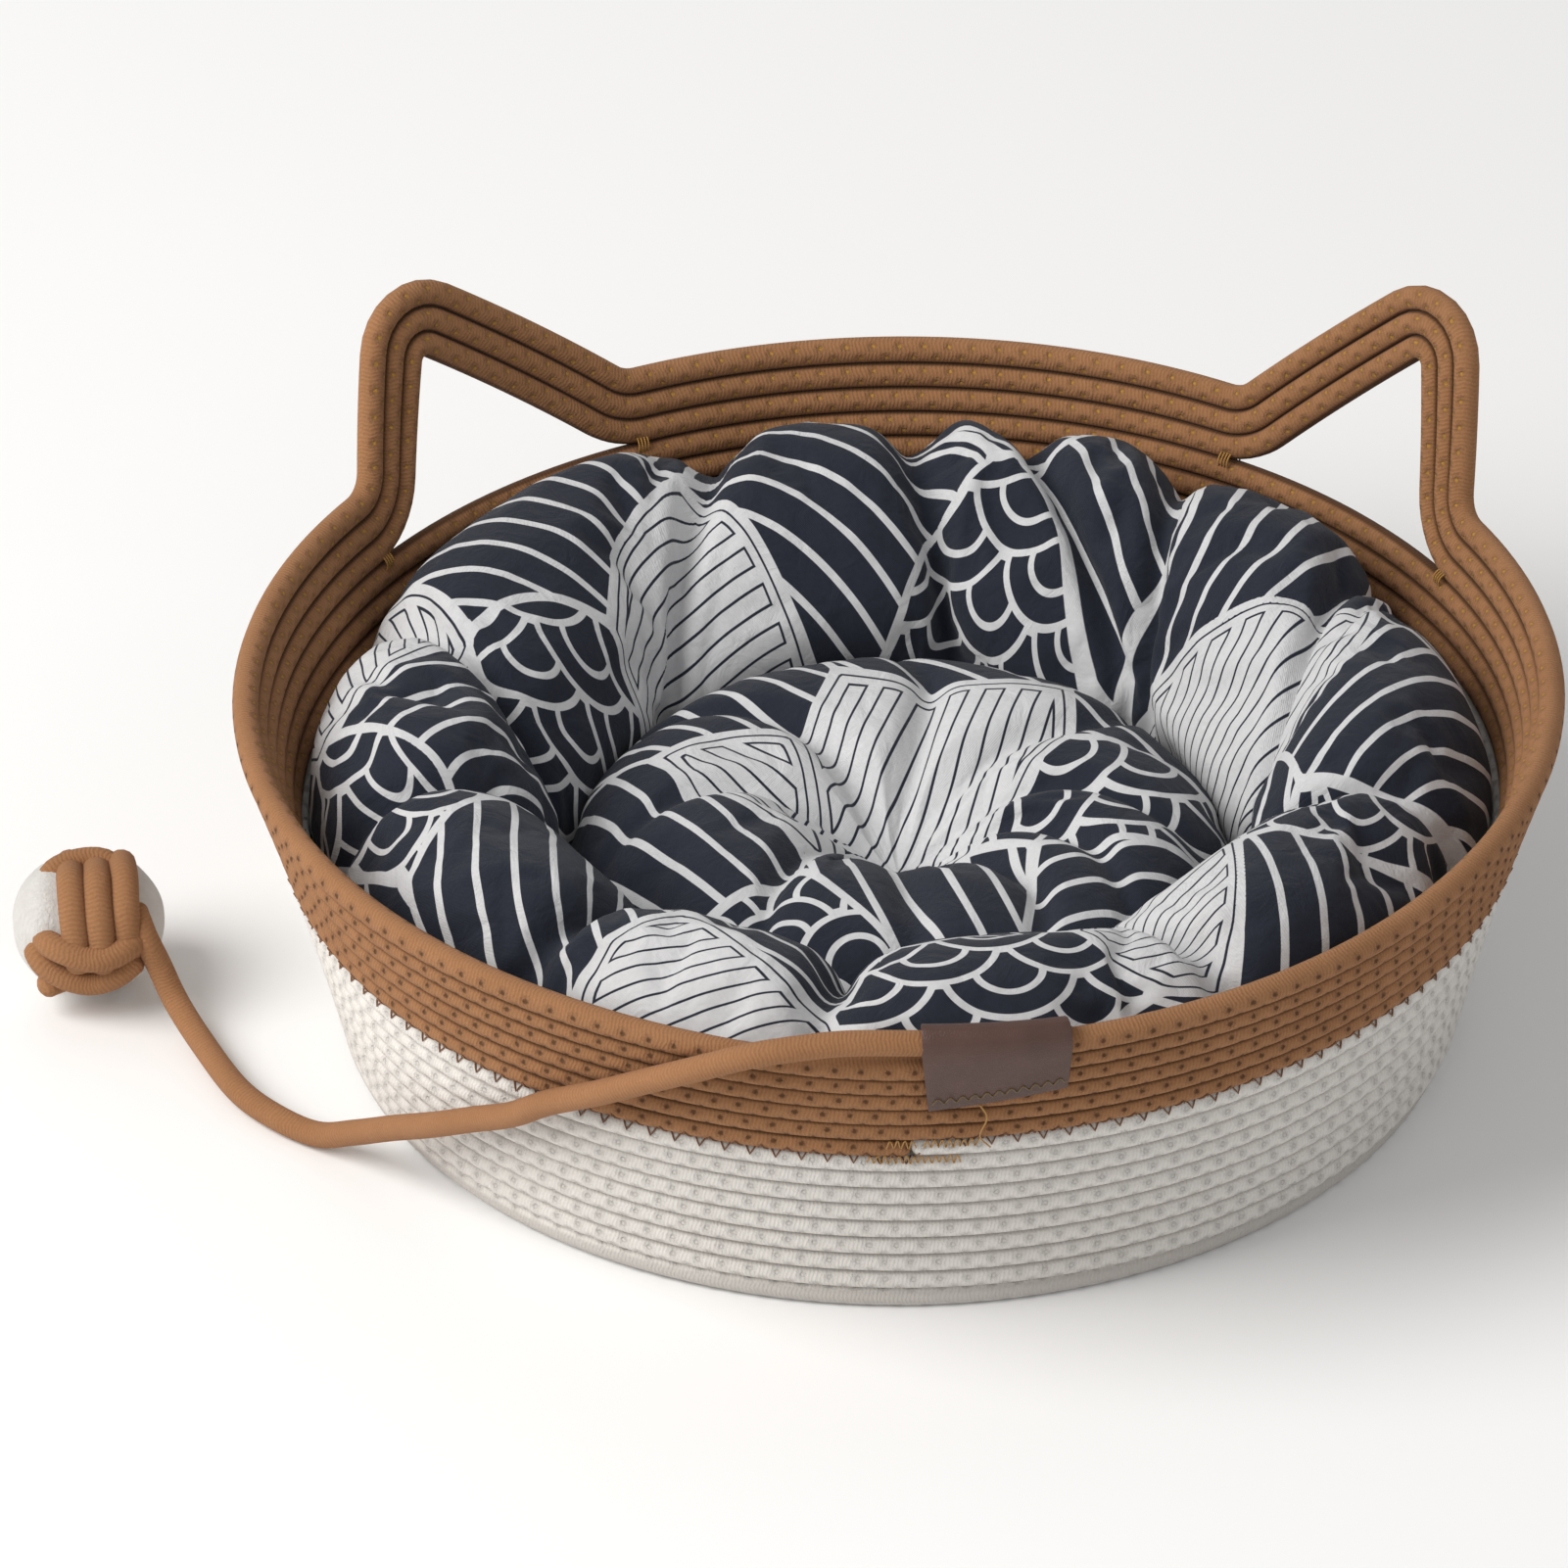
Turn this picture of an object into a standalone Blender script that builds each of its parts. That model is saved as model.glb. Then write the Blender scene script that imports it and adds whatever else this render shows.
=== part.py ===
"""Round cat bed: a basket of coiled cotton rope with two ear loops, a donut cushion and a rope tail.

Metres, +Z up. The origin is the centre of the base on the floor, and the front is -Y.
The real basket is one white rope and one brown rope wound in a spiral. Here each turn
is a ring of its own, one course of rope high, so that the wall keeps its true outline.
"""

import math

import bmesh
import bpy
from mathutils import Matrix, Vector

# Rope and wall
ROPE_RADIUS = 0.004
COURSE_RADIUS = 0.0039
EAR_COURSE_RADIUS = 0.0034
WHITE_PITCH = 0.0076
BROWN_PITCH = 0.0071
FOOT_RADIUS = 0.1666
FOOT_FLARE = math.radians(13.5)
RIM_FLARE = math.radians(19.5)
WHITE_COURSES = 10
BROWN_COURSES = 3
EAR_COURSES = 3
RING_STEPS = 36
GAP = 0.0004

# Ears, measured on the flared wall: azimuths from the back, heights above the rim
EAR_REACH = 0.202
EAR_OUTER = math.radians(54.2)
EAR_TOP = math.radians(47.4)
EAR_INNER = math.radians(31.0)
EAR_TOP_HEIGHT = 0.0330
EAR_FOOT_FILLET = 0.030

# Leather label
LABEL_START = math.radians(4.6)
LABEL_END = math.radians(16.8)
LABEL_THICKNESS = 0.0012
LABEL_FLAP = 0.024
LABEL_INNER_FLAP = 0.018

# Cushion
BOLSTER_CENTRE = (0.1395, 0.0600)
BOLSTER_HALF_WIDTH = 0.0355
BOLSTER_HALF_HEIGHT = 0.0505
BOLSTER_LEAN = math.radians(16)
COVER_THICKNESS = 0.0010
CLOTH_GAP = 0.0004
PAD_BOTTOM = 0.0110
PAD_RADII = (0.097, 0.084, 0.066, 0.045, 0.030, 0.015, 0.0)
BASE_CLOTH_RADIUS = 0.1440
CUSHION_STEPS = 32

# Tail and its knotted ball
BALL_CENTRE = Vector((-0.2477, 0.0004, 0.0236))
BALL_RADIUS = 0.0235
BALL_WAIST = 0.0152
BALL_GROOVE = 0.0140
PASS_RADIUS = 0.0038
PASS_CENTRE = 0.0196
TAIL_POINT_SPACING = 0.0070
TAIL_ROUTE = (
    (0.0134, -0.2008, 0.1187),
    (-0.0075, -0.2032, 0.1175),
    (-0.0224, -0.2040, 0.1156),
    (-0.0373, -0.2033, 0.1122),
    (-0.0525, -0.1983, 0.1042),
    (-0.0678, -0.1906, 0.0946),
    (-0.0833, -0.1806, 0.0833),
    (-0.0990, -0.1685, 0.0715),
    (-0.1107, -0.1566, 0.0592),
    (-0.1233, -0.1428, 0.0481),
    (-0.1360, -0.1285, 0.0365),
    (-0.1489, -0.1117, 0.0240),
    (-0.1617, -0.0972, 0.0125),
    (-0.1735, -0.0868, 0.0048),
    (-0.1868, -0.0767, 0.0043),
    (-0.1990, -0.0620, 0.0043),
    (-0.2113, -0.0373, 0.0050),
    (-0.2196, -0.0220, 0.0100),
    (-0.2240, -0.0158, 0.0195),
)

WHITE_COTTON = ("white_cotton", (0.71, 0.68, 0.63), 0.95)
BROWN_COTTON = ("brown_cotton", (0.35, 0.14, 0.05), 0.95)
BROWN_LEATHER = ("brown_leather", (0.08, 0.035, 0.024), 0.45)
PRINTED_COTTON = ("printed_cotton", (0.02, 0.024, 0.045), 0.90)
CUSHION_FILLING = ("cushion_filling", (0.85, 0.85, 0.84), 1.00)
TACK_THREAD = ("tack_thread", (0.45, 0.25, 0.05), 0.70)


def clear_scene():
    for thing in list(bpy.data.objects):
        bpy.data.objects.remove(thing)


def material(look):
    name, colour, roughness = look
    made = bpy.data.materials.get(name)
    if made is None:
        made = bpy.data.materials.new(name)
        made.use_nodes = True
        shader = made.node_tree.nodes["Principled BSDF"]
        shader.inputs["Base Color"].default_value = (*colour, 1.0)
        shader.inputs["Roughness"].default_value = roughness
    return made


def add_object(name, data, look, parent):
    data.materials.append(material(look))
    made = bpy.data.objects.new(name, data)
    bpy.context.scene.collection.objects.link(made)
    made.parent = parent
    made.matrix_parent_inverse = parent.matrix_world.inverted()
    return made


def add_mesh(name, shape, look, parent):
    bmesh.ops.recalc_face_normals(shape, faces=shape.faces)
    mesh = bpy.data.meshes.new(name)
    shape.to_mesh(mesh)
    shape.free()
    for face in mesh.polygons:
        face.use_smooth = True
    mesh.set_sharp_from_angle(angle=math.radians(40))
    return add_object(name, mesh, look, parent)


def add_empty(name, place):
    empty = bpy.data.objects.new(name, None)
    empty.location = place
    bpy.context.scene.collection.objects.link(empty)
    bpy.context.view_layer.update()
    return empty


def course_along(number):
    """How far up the slope a course lies, from the lowest course's middle."""
    white = min(number, WHITE_COURSES - 0.5)
    return white * WHITE_PITCH + (number - white) * BROWN_PITCH


RIM_ALONG = course_along(WHITE_COURSES + BROWN_COURSES + EAR_COURSES - 1)


def flare_at(along):
    """The wall leans out more and more towards the rim, and the ears go on at the rim's lean."""
    share = min(along / RIM_ALONG, 1.0)
    return FOOT_FLARE + (RIM_FLARE - FOOT_FLARE) * share


def wall_point(along, outwards=0.0):
    """Radius and height on the wall's middle surface, `along` the slope from the lowest course."""
    flare = flare_at(along)
    bend = (RIM_FLARE - FOOT_FLARE) / RIM_ALONG
    beyond = max(along - RIM_ALONG, 0.0)
    out = (math.cos(FOOT_FLARE) - math.cos(flare)) / bend + beyond * math.sin(flare)
    up = (math.sin(flare) - math.sin(FOOT_FLARE)) / bend + beyond * math.cos(flare)
    radius = FOOT_RADIUS + out + outwards * math.cos(flare)
    height = ROPE_RADIUS + up - outwards * math.sin(flare)
    return radius, height


def turned(profile, steps, close_profile):
    """A solid turned about Z from points of (radius, height)."""
    shape = bmesh.new()
    points = [shape.verts.new((radius, 0.0, height)) for radius, height in profile]
    edges = [shape.edges.new(pair) for pair in zip(points, points[1:])]
    if close_profile:
        edges.append(shape.edges.new((points[-1], points[0])))
    bmesh.ops.spin(
        shape,
        geom=points + edges,
        cent=(0, 0, 0),
        axis=(0, 0, 1),
        angle=2 * math.pi,
        steps=steps,
        use_merge=True,
    )
    bmesh.ops.remove_doubles(shape, verts=shape.verts, dist=1e-6)
    return shape


# The wall: one ring for each course of rope


def add_course(number, look, parent):
    along = course_along(number)
    radius, height = wall_point(along)
    sides = 6
    profile = []
    for side in range(sides):
        turn = 2 * math.pi * side / sides - flare_at(along)
        profile.append((radius + COURSE_RADIUS * math.cos(turn), height + COURSE_RADIUS * math.sin(turn)))
    name = f"{look[0].split('_')[0]}_course_{number + 1:02d}"
    return add_mesh(name, turned(profile, RING_STEPS, True), look, parent)


def add_base(parent):
    """The flat spiral of white rope under the cushion, inside the lowest course."""
    edge = FOOT_RADIUS - COURSE_RADIUS - GAP
    top = 2 * COURSE_RADIUS
    round_off = 0.0020
    profile = (
        (0.0, 0.0),
        (edge - round_off, 0.0),
        (edge, round_off),
        (edge, top - round_off),
        (edge - round_off, top),
        (0.0, top),
    )
    return add_mesh("base_coil", turned(profile, RING_STEPS, False), WHITE_COTTON, parent)


# The ears: the top courses leave the wall and come back, round a triangular opening


def line_crossing(point, direction, other, other_direction):
    across = direction.x * other_direction.y - direction.y * other_direction.x
    gap = other - point
    reach = (gap.x * other_direction.y - gap.y * other_direction.x) / across
    return point + direction * reach


def rounded(corners, radii, step):
    """Points along straight lines through the corners, with an arc at each."""
    route = []
    for i, corner in enumerate(corners):
        if radii[i] == 0:
            route.append(corner)
            continue
        back = (corners[i - 1] - corner).normalized()
        ahead = (corners[i + 1] - corner).normalized()
        half = back.angle(ahead) / 2
        reach = radii[i] / math.tan(half)
        start = corner + back * reach
        end = corner + ahead * reach
        centre = corner + (back + ahead).normalized() * radii[i] / math.sin(half)
        turn = math.pi - 2 * half
        pieces = max(2, math.ceil(turn / step))
        first = start - centre
        last = end - centre
        for j in range(pieces + 1):
            share = j / pieces
            arm = first * math.sin((1 - share) * turn) + last * math.sin(share * turn)
            route.append(centre + arm / math.sin(turn))
    return route


def ear_outline(offset):
    """One ear's route at `offset` outside its opening, as (distance round the rim, height above it)."""
    band = EAR_COURSES * BROWN_PITCH
    outer = Vector((EAR_OUTER * EAR_REACH, -band))
    top = Vector((EAR_TOP * EAR_REACH, EAR_TOP_HEIGHT))
    inner = Vector((EAR_INNER * EAR_REACH, -band))
    up_inside = (top - inner).normalized()
    down_outside = (outer - top).normalized()
    inside = inner + Vector((-up_inside.y, up_inside.x)) * offset
    outside = outer + Vector((-down_outside.y, down_outside.x)) * offset
    rim = Vector((0.0, -band + offset))
    along_rim = Vector((1.0, 0.0))
    foot_in = line_crossing(inside, up_inside, rim, along_rim)
    tip = line_crossing(inside, up_inside, outside, down_outside)
    foot_out = line_crossing(outside, down_outside, rim, along_rim)
    before = Vector((0.0, rim.y))
    after = Vector((math.radians(75) * EAR_REACH, rim.y))
    foot = EAR_FOOT_FILLET - offset
    return rounded((before, foot_in, tip, foot_out, after), (0, foot, offset, foot, 0), math.radians(18))


def with_stops(route, spacing):
    """The same route with more points, none further apart than the spacing."""
    fuller = [route[0]]
    for start, end in zip(route, route[1:]):
        pieces = max(1, math.ceil((end - start).length / spacing))
        fuller += [start.lerp(end, (j + 1) / pieces) for j in range(pieces)]
    return fuller


def add_ear_course(number, parent):
    course = WHITE_COURSES + BROWN_COURSES + number
    offset = (number + 0.5) * BROWN_PITCH
    right = with_stops(ear_outline(offset), 0.024)
    rim_edge = RIM_ALONG + BROWN_PITCH / 2
    around = [(point.x / EAR_REACH, point.y) for point in right]
    front_from = around[-1][0]
    front_steps = 2 * round((math.pi - front_from) / math.radians(10))
    step = 2 * (math.pi - front_from) / front_steps
    front = [(front_from + step * j, around[-1][1]) for j in range(1, front_steps)]
    left = [(-azimuth, height) for azimuth, height in reversed(around[1:])]
    spline_points = []
    for azimuth, above in around + front + left:
        radius, height = wall_point(rim_edge + above)
        spline_points.append((radius * math.sin(azimuth), radius * math.cos(azimuth), height))
    curve = bpy.data.curves.new(f"ear_course_{course + 1:02d}", "CURVE")
    curve.dimensions = "3D"
    curve.bevel_depth = EAR_COURSE_RADIUS
    curve.bevel_resolution = 1
    spline = curve.splines.new("POLY")
    spline.points.add(len(spline_points) - 1)
    for point, place in zip(spline.points, spline_points):
        point.co = (*place, 1.0)
    spline.use_cyclic_u = True
    return add_object(f"brown_ear_course_{course + 1:02d}", curve, BROWN_COTTON, parent)


def add_tack(name, azimuth, parent):
    """Thread wound over the opening's lower corner, which holds the ear rope down to the wall."""
    along = course_along(WHITE_COURSES + BROWN_COURSES - 0.5)
    radius, height = wall_point(along, -ROPE_RADIUS - 0.0011)
    shape = bmesh.new()
    bmesh.ops.create_uvsphere(shape, u_segments=10, v_segments=6, radius=0.0016)
    bmesh.ops.scale(shape, verts=shape.verts, vec=(0.55, 1.0, 3.2))
    lean = Matrix.Rotation(flare_at(along), 3, "Y")
    bmesh.ops.rotate(shape, verts=shape.verts, cent=(0, 0, 0), matrix=lean)
    made = add_mesh(name, shape, TACK_THREAD, parent)
    made.location = (radius * math.sin(azimuth), radius * math.cos(azimuth), height)
    made.rotation_euler = (0, 0, math.pi / 2 - azimuth)
    return made


# The label: a leather strip folded over the rim


def add_label(parent):
    inside = ROPE_RADIUS + GAP
    outside = inside + LABEL_THICKNESS
    bends = 6
    outer_side = [(RIM_ALONG - LABEL_FLAP, outside)]
    inner_side = [(RIM_ALONG - LABEL_FLAP, inside)]
    for bend in range(bends + 1):
        turn = math.pi * bend / bends
        outer_side.append((RIM_ALONG + outside * math.sin(turn), outside * math.cos(turn)))
        inner_side.append((RIM_ALONG + inside * math.sin(turn), inside * math.cos(turn)))
    outer_side.append((RIM_ALONG - LABEL_INNER_FLAP, -outside))
    inner_side.append((RIM_ALONG - LABEL_INNER_FLAP, -inside))
    profile = outer_side + inner_side[::-1]
    stations = 6
    shape = bmesh.new()
    loops = []
    for station in range(stations + 1):
        azimuth = LABEL_START + (LABEL_END - LABEL_START) * station / stations
        loop = []
        for along, outwards in profile:
            radius, height = wall_point(along, outwards)
            loop.append(shape.verts.new((radius * math.sin(azimuth), -radius * math.cos(azimuth), height)))
        loops.append(loop)
    count = len(profile)
    for loop, following in zip(loops, loops[1:]):
        for i in range(count):
            j = (i + 1) % count
            shape.faces.new((loop[i], loop[j], following[j], following[i]))
    half = len(outer_side)
    for loop in (loops[0], loops[-1]):
        for i in range(half - 1):
            shape.faces.new((loop[i], loop[i + 1], loop[count - 2 - i], loop[count - 1 - i]))
    return add_mesh("leather_label", shape, BROWN_LEATHER, parent)


# The cushion: a printed cover over a ring bolster and a centre pad


def bolster_point(angle, shrink):
    """A point of the bolster's section, an ellipse that leans with the wall."""
    across = (BOLSTER_HALF_WIDTH - shrink) * math.cos(angle)
    up = (BOLSTER_HALF_HEIGHT - shrink) * math.sin(angle)
    radius = BOLSTER_CENTRE[0] + across * math.cos(BOLSTER_LEAN) + up * math.sin(BOLSTER_LEAN)
    height = BOLSTER_CENTRE[1] - across * math.sin(BOLSTER_LEAN) + up * math.cos(BOLSTER_LEAN)
    return radius, height


def pad_top(radius):
    """The pad's height: a dimple in the middle, a crown round it, and a fall to the bolster."""
    dimple = 0.020 * math.exp(-((radius / 0.030) ** 2))
    fall = 0.030 * (radius / 0.098) ** 6
    return 0.0740 - dimple - fall


def add_cover(parent):
    """The cover's upper cloth in one: up the bolster's outer side, over, and across the pad."""
    outline = [bolster_point(math.radians(angle), 0.0) for angle in range(-75, 204, 31)]
    for radius in PAD_RADII:
        outline.append((radius, pad_top(radius)))
    made = add_mesh("cushion_cover", turned(outline, CUSHION_STEPS, False), PRINTED_COTTON, parent)
    wall = made.modifiers.new("cloth", "SOLIDIFY")
    wall.thickness = COVER_THICKNESS
    wall.offset = -1
    return made


def add_bolster_filling(parent):
    shrink = COVER_THICKNESS + CLOTH_GAP
    sides = 10
    profile = [bolster_point(2 * math.pi * side / sides, shrink + 0.0012) for side in range(sides)]
    return add_mesh("bolster_filling", turned(profile, CUSHION_STEPS, True), CUSHION_FILLING, parent)


def add_pad_filling(parent):
    drop = COVER_THICKNESS + CLOTH_GAP + 0.0010
    profile = [(0.0, PAD_BOTTOM), (0.080, PAD_BOTTOM), (0.091, 0.020), (0.093, 0.036)]
    for radius in PAD_RADII[1:]:
        profile.append((radius, pad_top(radius) - drop))
    return add_mesh("pad_filling", turned(profile, CUSHION_STEPS, False), CUSHION_FILLING, parent)


def add_base_cloth(parent):
    """The plain cloth disc that closes the cover underneath."""
    bottom = 2 * COURSE_RADIUS + GAP
    top = bottom + COVER_THICKNESS
    profile = ((0.0, bottom), (BASE_CLOTH_RADIUS, bottom), (BASE_CLOTH_RADIUS, top), (0.0, top))
    return add_mesh("cushion_base_cloth", turned(profile, CUSHION_STEPS, False), PRINTED_COTTON, parent)


# The tail: a free rope from the rim to a knotted ball on the floor


def smooth_route(points, spacing):
    """Evenly spaced points of a Catmull-Rom curve through the route's own points."""
    ends = [points[0] * 2 - points[1]] + points + [points[-1] * 2 - points[-2]]
    fine = []
    for a, b, c, d in zip(ends, ends[1:], ends[2:], ends[3:]):
        for j in range(20):
            t = j / 20
            fine.append(
                (b * 2 + (c - a) * t + (a * 2 - b * 5 + c * 4 - d) * t * t + (b * 3 - a - c * 3 + d) * t**3)
                / 2
            )
    fine.append(points[-1])
    lengths = [0.0]
    for start, end in zip(fine, fine[1:]):
        lengths.append(lengths[-1] + (end - start).length)
    count = round(lengths[-1] / spacing)
    route = []
    i = 0
    for j in range(count + 1):
        along = lengths[-1] * j / count
        while i < len(fine) - 2 and lengths[i + 1] < along:
            i += 1
        share = (along - lengths[i]) / (lengths[i + 1] - lengths[i])
        route.append(fine[i].lerp(fine[i + 1], share))
    return route


def tube(name, route, radius, resolution, look, parent):
    """A round rope along the route, with its ends filled, placed from its parent."""
    curve = bpy.data.curves.new(name, "CURVE")
    curve.dimensions = "3D"
    curve.bevel_depth = radius
    curve.bevel_resolution = resolution
    curve.use_fill_caps = True
    spline = curve.splines.new("POLY")
    spline.points.add(len(route) - 1)
    for point, place in zip(spline.points, route):
        point.co = (*place, 1.0)
    return add_object(name, curve, look, parent)


def add_tail(parent):
    route = smooth_route([Vector(point) for point in TAIL_ROUTE], TAIL_POINT_SPACING)
    return tube("tail_rope", route, ROPE_RADIUS, 2, BROWN_COTTON, parent)


def add_ball_core(parent):
    """White cotton ball, squeezed to a waist under the rope and bulging out on both sides."""
    profile = [(0.0, -BALL_RADIUS)]
    for step in range(1, 5):
        turn = math.acos(BALL_GROOVE / BALL_RADIUS) * step / 4
        profile.append((BALL_RADIUS * math.sin(turn), -BALL_RADIUS * math.cos(turn)))
    profile += [(BALL_WAIST, -BALL_GROOVE), (BALL_WAIST, BALL_GROOVE)]
    profile += [(radius, -height) for radius, height in reversed(profile[:5])]
    shape = turned(profile, 20, False)
    made = add_mesh("tail_ball_core", shape, WHITE_COTTON, parent)
    made.rotation_euler = (0, math.pi / 2, 0)
    made.location = BALL_CENTRE
    return made


def add_upright_pass(number, parent):
    """One pass over the front, top, back and underside of the ball."""
    side = (number - 1) * 0.0081
    reach = PASS_CENTRE
    first = math.radians(16)
    last = math.radians(284)
    stops = 20
    route = []
    for stop in range(stops + 1):
        turn = first + (last - first) * stop / stops
        route.append(BALL_CENTRE + Vector((side, -reach * math.cos(turn), reach * math.sin(turn))))
    return tube(f"tail_knot_upright_{number + 1}", route, PASS_RADIUS, 1, BROWN_COTTON, parent)


def add_cross_pass(number, parent):
    """One pass across the lower front of the ball, between its white sides."""
    low = math.radians(-9 - 26 * number)
    half = BALL_GROOVE - GAP
    stops = 6
    route = []
    for stop in range(stops + 1):
        side = -half + 2 * half * stop / stops
        reach = PASS_CENTRE + 0.0006
        route.append(BALL_CENTRE + Vector((side, -reach * math.cos(low), reach * math.sin(low))))
    return tube(f"tail_knot_cross_{number + 1}", route, PASS_RADIUS, 1, BROWN_COTTON, parent)


def add_knot_stub(parent):
    """The rope's own end, which stands out of the knot low at the left."""
    shape = bmesh.new()
    bmesh.ops.create_uvsphere(shape, u_segments=12, v_segments=8, radius=PASS_RADIUS)
    bmesh.ops.scale(shape, verts=shape.verts, vec=(1.0, 1.3, 1.0))
    made = add_mesh("tail_knot_stub", shape, BROWN_COTTON, parent)
    made.location = BALL_CENTRE + Vector((-0.0178, -0.0145, -0.0166))
    return made


def main():
    clear_scene()
    basket = add_empty("basket", (0, 0, 0))
    cushion = add_empty("cushion", (0, 0, 0))
    tail = add_empty("tail", TAIL_ROUTE[0])
    add_base(basket)
    for number in range(WHITE_COURSES):
        add_course(number, WHITE_COTTON, basket)
    for number in range(WHITE_COURSES, WHITE_COURSES + BROWN_COURSES):
        add_course(number, BROWN_COTTON, basket)
    for number in range(EAR_COURSES):
        add_ear_course(number, basket)
    add_label(basket)
    for side, sign in (("right", 1), ("left", -1)):
        add_tack(f"ear_tack_{side}_outer", sign * EAR_OUTER, basket)
        add_tack(f"ear_tack_{side}_inner", sign * EAR_INNER, basket)
    add_base_cloth(cushion)
    add_bolster_filling(cushion)
    add_pad_filling(cushion)
    add_cover(cushion)
    add_tail(tail)
    add_ball_core(tail)
    for number in range(3):
        add_upright_pass(number, tail)
    for number in range(2):
        add_cross_pass(number, tail)
    add_knot_stub(tail)


main()
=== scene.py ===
import math

import bmesh
import bpy
import numpy as np
from mathutils import Matrix, Vector, noise


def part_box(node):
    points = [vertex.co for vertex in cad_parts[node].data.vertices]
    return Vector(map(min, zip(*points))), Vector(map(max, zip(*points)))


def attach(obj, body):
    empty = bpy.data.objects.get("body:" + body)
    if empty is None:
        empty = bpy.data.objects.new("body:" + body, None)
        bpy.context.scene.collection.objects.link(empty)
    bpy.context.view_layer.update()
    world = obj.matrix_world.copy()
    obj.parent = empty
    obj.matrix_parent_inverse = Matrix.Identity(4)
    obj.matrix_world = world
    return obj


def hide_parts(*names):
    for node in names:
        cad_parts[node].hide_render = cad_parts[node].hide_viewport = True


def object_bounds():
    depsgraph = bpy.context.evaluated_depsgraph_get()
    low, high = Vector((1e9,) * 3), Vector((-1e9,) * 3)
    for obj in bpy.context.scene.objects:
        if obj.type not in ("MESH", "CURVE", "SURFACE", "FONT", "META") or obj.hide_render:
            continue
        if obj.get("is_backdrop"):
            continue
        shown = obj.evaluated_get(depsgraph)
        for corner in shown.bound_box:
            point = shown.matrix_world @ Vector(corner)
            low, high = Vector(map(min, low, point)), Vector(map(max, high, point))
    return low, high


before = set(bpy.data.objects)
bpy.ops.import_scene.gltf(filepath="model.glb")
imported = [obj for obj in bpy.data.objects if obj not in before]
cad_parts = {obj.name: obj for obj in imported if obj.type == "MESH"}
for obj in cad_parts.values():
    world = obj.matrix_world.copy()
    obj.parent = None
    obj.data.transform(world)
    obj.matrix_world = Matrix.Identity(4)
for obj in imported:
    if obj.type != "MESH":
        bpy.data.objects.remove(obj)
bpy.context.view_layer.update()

# ---------------------------------------------------------------------------
# Camera: stands a long way back and a touch to the right, and looks down into the nest.
# It is made first; the free length of the tail was judged against its view.

view_turn = math.radians(2.5)
view_drop = math.radians(32.8)
view_distance = 9.0
view_width = 0.4771
level_part = math.cos(view_drop)
back = Vector((math.sin(view_turn) * level_part, -math.cos(view_turn) * level_part, math.sin(view_drop)))
sideways = Vector((math.cos(view_turn), math.sin(view_turn), 0.0))
upwards = back.cross(sideways)
aim = Vector((0.0, 0.0, 0.05)) - sideways * 0.0349 + upwards * 0.0240

camera_data = bpy.data.cameras.new("camera")
camera_data.sensor_width = 36.0
camera_data.lens = camera_data.sensor_width * view_distance / view_width
camera_data.clip_end = 100.0
camera = bpy.data.objects.new("camera", camera_data)
bpy.context.scene.collection.objects.link(camera)
camera.location = aim + back * view_distance
level = back.to_track_quat("Z", "Y").to_matrix()
camera.rotation_euler = (level @ Matrix.Rotation(math.radians(-0.49), 3, "Z")).to_euler()
bpy.context.scene.camera = camera

# ---------------------------------------------------------------------------
# Tail: 8 mm braided cotton rope, the free end of the brown rope that winds the rim.
# It leaves the rim beside the label, slides down outside the wall and runs along the floor.

ROPE = 0.004


def put_in_scene(name, mesh):
    made = bpy.data.objects.new(name, mesh)
    bpy.context.scene.collection.objects.link(made)
    return made


def smooth_line(points, spacing):
    """Evenly spaced points of a smooth curve through the given ones."""
    ends = [points[0] * 2 - points[1]] + points + [points[-1] * 2 - points[-2]]
    fine = []
    for a, b, c, d in zip(ends, ends[1:], ends[2:], ends[3:]):
        for j in range(16):
            t = j / 16
            curve = b * 2 + (c - a) * t + (a * 2 - b * 5 + c * 4 - d) * t * t + (b * 3 - a - c * 3 + d) * t**3
            fine.append(curve / 2)
    fine.append(points[-1])
    lengths = [0.0]
    for start, end in zip(fine, fine[1:]):
        lengths.append(lengths[-1] + (end - start).length)
    count = max(2, round(lengths[-1] / spacing))
    route, i = [], 0
    for j in range(count + 1):
        along = lengths[-1] * j / count
        while i < len(fine) - 2 and lengths[i + 1] < along:
            i += 1
        route.append(fine[i].lerp(fine[i + 1], (along - lengths[i]) / (lengths[i + 1] - lengths[i])))
    return route


def line_length(points):
    return sum((b - a).length for a, b in zip(points, points[1:]))


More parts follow.
